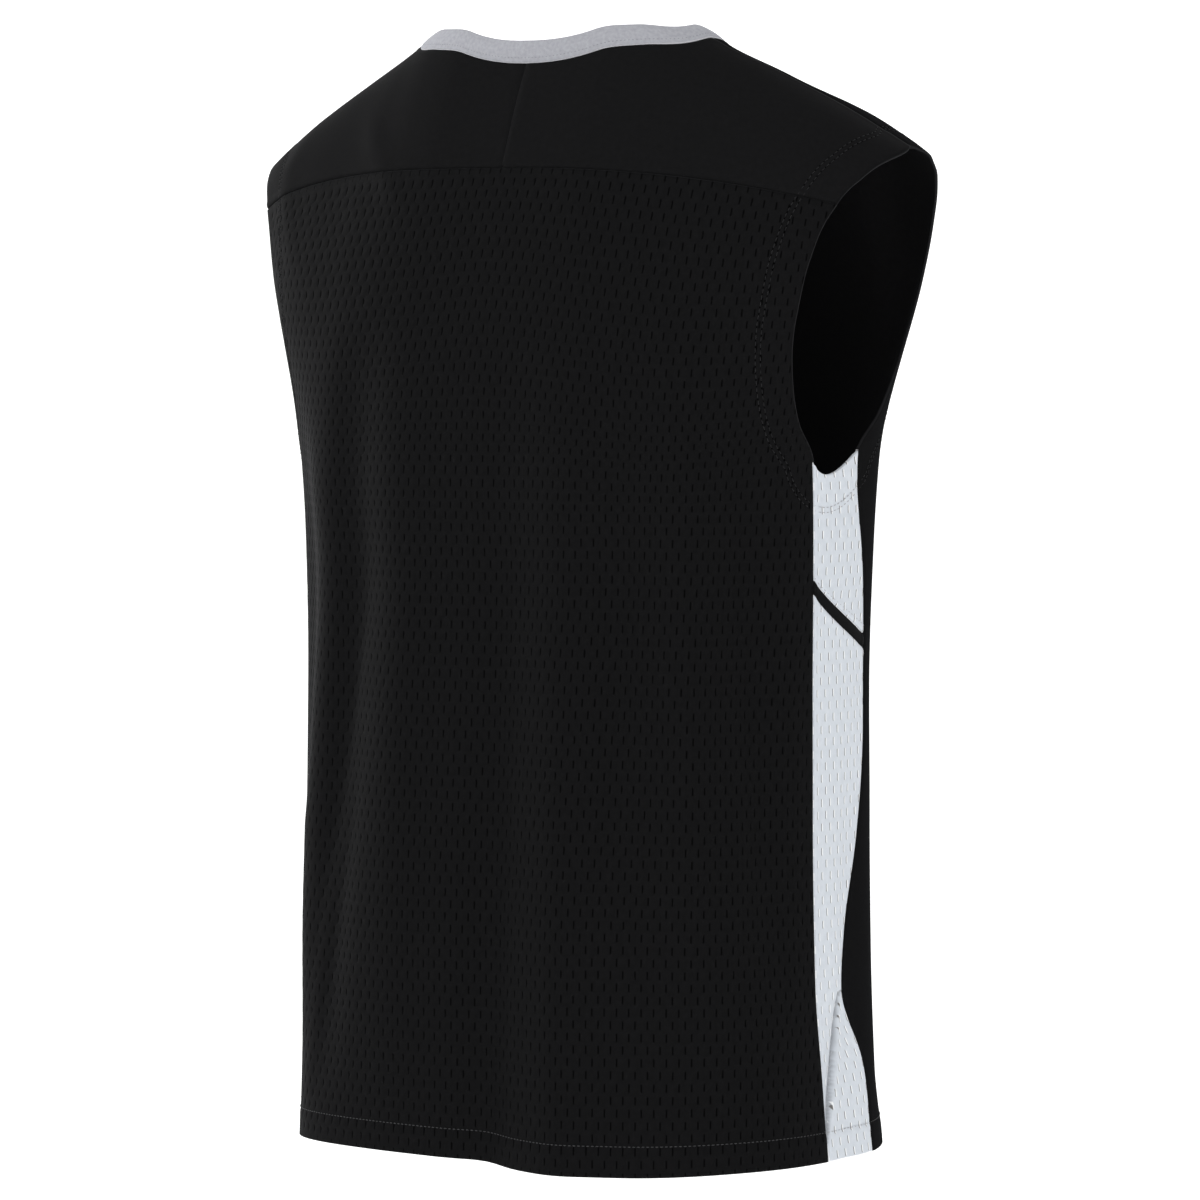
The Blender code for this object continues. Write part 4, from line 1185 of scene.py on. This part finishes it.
back = buildBack()
dress(back, materials["blackMesh"])
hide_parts("back")
frontSheet = buildFront()
dress(frontSheet, materials["frontKnitPaintedLight"])
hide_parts("front")
for side, word, title in ((1, "left", "Left"), (-1, "right", "Right")):
    piece = buildYoke(side, "Yoke" + title)
    dress(piece, materials["blackKnit"])
    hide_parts("yoke_" + word)
    hem = (body["hemHeight"], body["hemHeight"])
    bandLow, bandHigh = (band["backLower"], band["frontLower"]), (band["backUpper"], band["frontUpper"])
    corner = (body["backCorner"], body["frontCorner"])
    for part, low, high, kind, edges, dip in (
            ("Lower", hem, bandLow, "mesh", ("high",), 0.0),
            ("Band", bandLow, bandHigh, "knit", ("low", "high"), 0.0),
            ("Upper", bandHigh, corner, "mesh", ("low",), sidePanel["underarmDip"])):
        piece = buildSide(side, "Side" + title + part, low, high, kind, edges, dip)
        dress(piece, materials["whiteMesh" if kind == "mesh" else "blackKnit"])
        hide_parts("side_" + word + "_" + part.lower())
ring = buildCollar()
dress(ring, materials["greyRib"])
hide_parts("collar")
stitches = buildStitches()
for row, look in zip(stitches, ("thread", "paleThread", "hole", "neckThread", "hemThread")):
    dress(row, materials[look])

# floor, light, camera
studio = {"floor": -1.05, "reach": 20.0, "floorColour": (0.93, 0.93, 0.93, 1), "worldStrength": 0.62,
          "floorGlow": 0.50, "flatShare": 0.55, "bendRadius": 1.6, "nearShare": 0.75}


def buildStudio():
    bpy.ops.mesh.primitive_grid_add(x_subdivisions=2, y_subdivisions=40, size=1)
    floor = bpy.context.object
    floor.name = "StudioFloor"
    for vert in floor.data.vertices:
        along = vert.co.y + 0.5
        radius = studio["bendRadius"]
        x = vert.co.x * studio["reach"] * 2
        run = along * (studio["reach"] * 2)
        bendStart = studio["flatShare"] * studio["reach"] * 2
        bend = min(max((run - bendStart) / radius, 0.0), math.pi / 2)
        forward = min(run, bendStart) + radius * math.sin(bend)
        up = radius * (1 - math.cos(bend)) + max(run - bendStart - radius * math.pi / 2, 0.0)
        # the curved end lies behind the jersey, as the camera sees it
        angle = math.radians(camera["azimuth"])
        ahead = Vector((-math.sin(angle), math.cos(angle), 0))
        aside = Vector((math.cos(angle), math.sin(angle), 0))
        spot = ahead * (forward - studio["reach"] * studio["nearShare"]) + aside * x
        vert.co = (spot.x, spot.y, studio["floor"] + up)
    bpy.ops.object.shade_smooth()
    floor.select_set(False)
    paint = newMaterial("paleFloor", 0.9)
    inputs = paint.node_tree.nodes["Principled BSDF"].inputs
    for socket, value in (("Base Color", studio["floorColour"]), ("Specular IOR Level", 0.0),
                          ("Emission Color", (1, 1, 1, 1)), ("Emission Strength", studio["floorGlow"])):
        inputs[socket].default_value = value
    dress(floor, paint)


camera = {
    "azimuth": 213.0, "elevation": 2.8, "distance": 4.1, "aimHeight": -0.3553,
    "axisPixel": 569.0, "pixelsPerMetre": 1568.0, "image": 1200.0, "sensor": 36.0,
}
lights = (
    # name, azimuth and elevation it shines from, distance, size, power, colour
    ("SoftFront", 205.0, 40.0, 3.4, 2.4, 34.0, (1.0, 1.0, 1.0)),
    ("RimLight", 92.0, 14.0, 2.6, 1.0, 26.0, (1.0, 1.0, 1.0)),
    ("TopLight", 150.0, 75.0, 3.0, 1.6, 12.0, (0.97, 0.99, 1.0)),
)


def directionFrom(azimuth, elevation):
    a, e = math.radians(azimuth), math.radians(elevation)
    return Vector((math.sin(a) * math.cos(e), -math.cos(a) * math.cos(e), math.sin(e)))


def buildCamera():
    towardsEye = directionFrom(camera["azimuth"], camera["elevation"])
    right = Vector((0, 0, 1)).cross(towardsEye).normalized()
    shift = (camera["image"] / 2 - camera["axisPixel"]) / camera["pixelsPerMetre"]
    aim = Vector((0, 0, camera["aimHeight"])) + right * shift
    lens = bpy.data.cameras.new("PhotoCamera")
    lens.sensor_width = camera["sensor"]
    lens.lens = camera["sensor"] * camera["distance"] * camera["pixelsPerMetre"] / camera["image"]
    eye = bpy.data.objects.new("PhotoCamera", lens)
    bpy.context.scene.collection.objects.link(eye)
    eye.matrix_world = Matrix.Translation(aim + towardsEye * camera["distance"]) @ towardsEye.to_track_quat(
        "Z", "Y").to_matrix().to_4x4()
    bpy.context.scene.camera = eye


def buildLights():
    middle = Vector((0, 0, camera["aimHeight"]))
    for name, azimuth, elevation, distance, size, power, colour in lights:
        lamp = bpy.data.lights.new(name, "AREA")
        lamp.size = size
        lamp.energy = power
        lamp.color = colour
        holder = bpy.data.objects.new(name, lamp)
        bpy.context.scene.collection.objects.link(holder)
        out = directionFrom(azimuth, elevation)
        holder.matrix_world = Matrix.Translation(middle + out * distance) @ out.to_track_quat(
            "Z", "Y").to_matrix().to_4x4()
    world = bpy.data.worlds.new("PaleStudio")
    world.use_nodes = True
    world.node_tree.nodes["Background"].inputs["Color"].default_value = (1, 1, 1, 1)
    world.node_tree.nodes["Background"].inputs["Strength"].default_value = studio["worldStrength"]
    bpy.context.scene.world = world
    bpy.context.scene.view_settings.view_transform = "Standard"


buildStudio()
buildCamera()
buildLights()
print("studio ready")
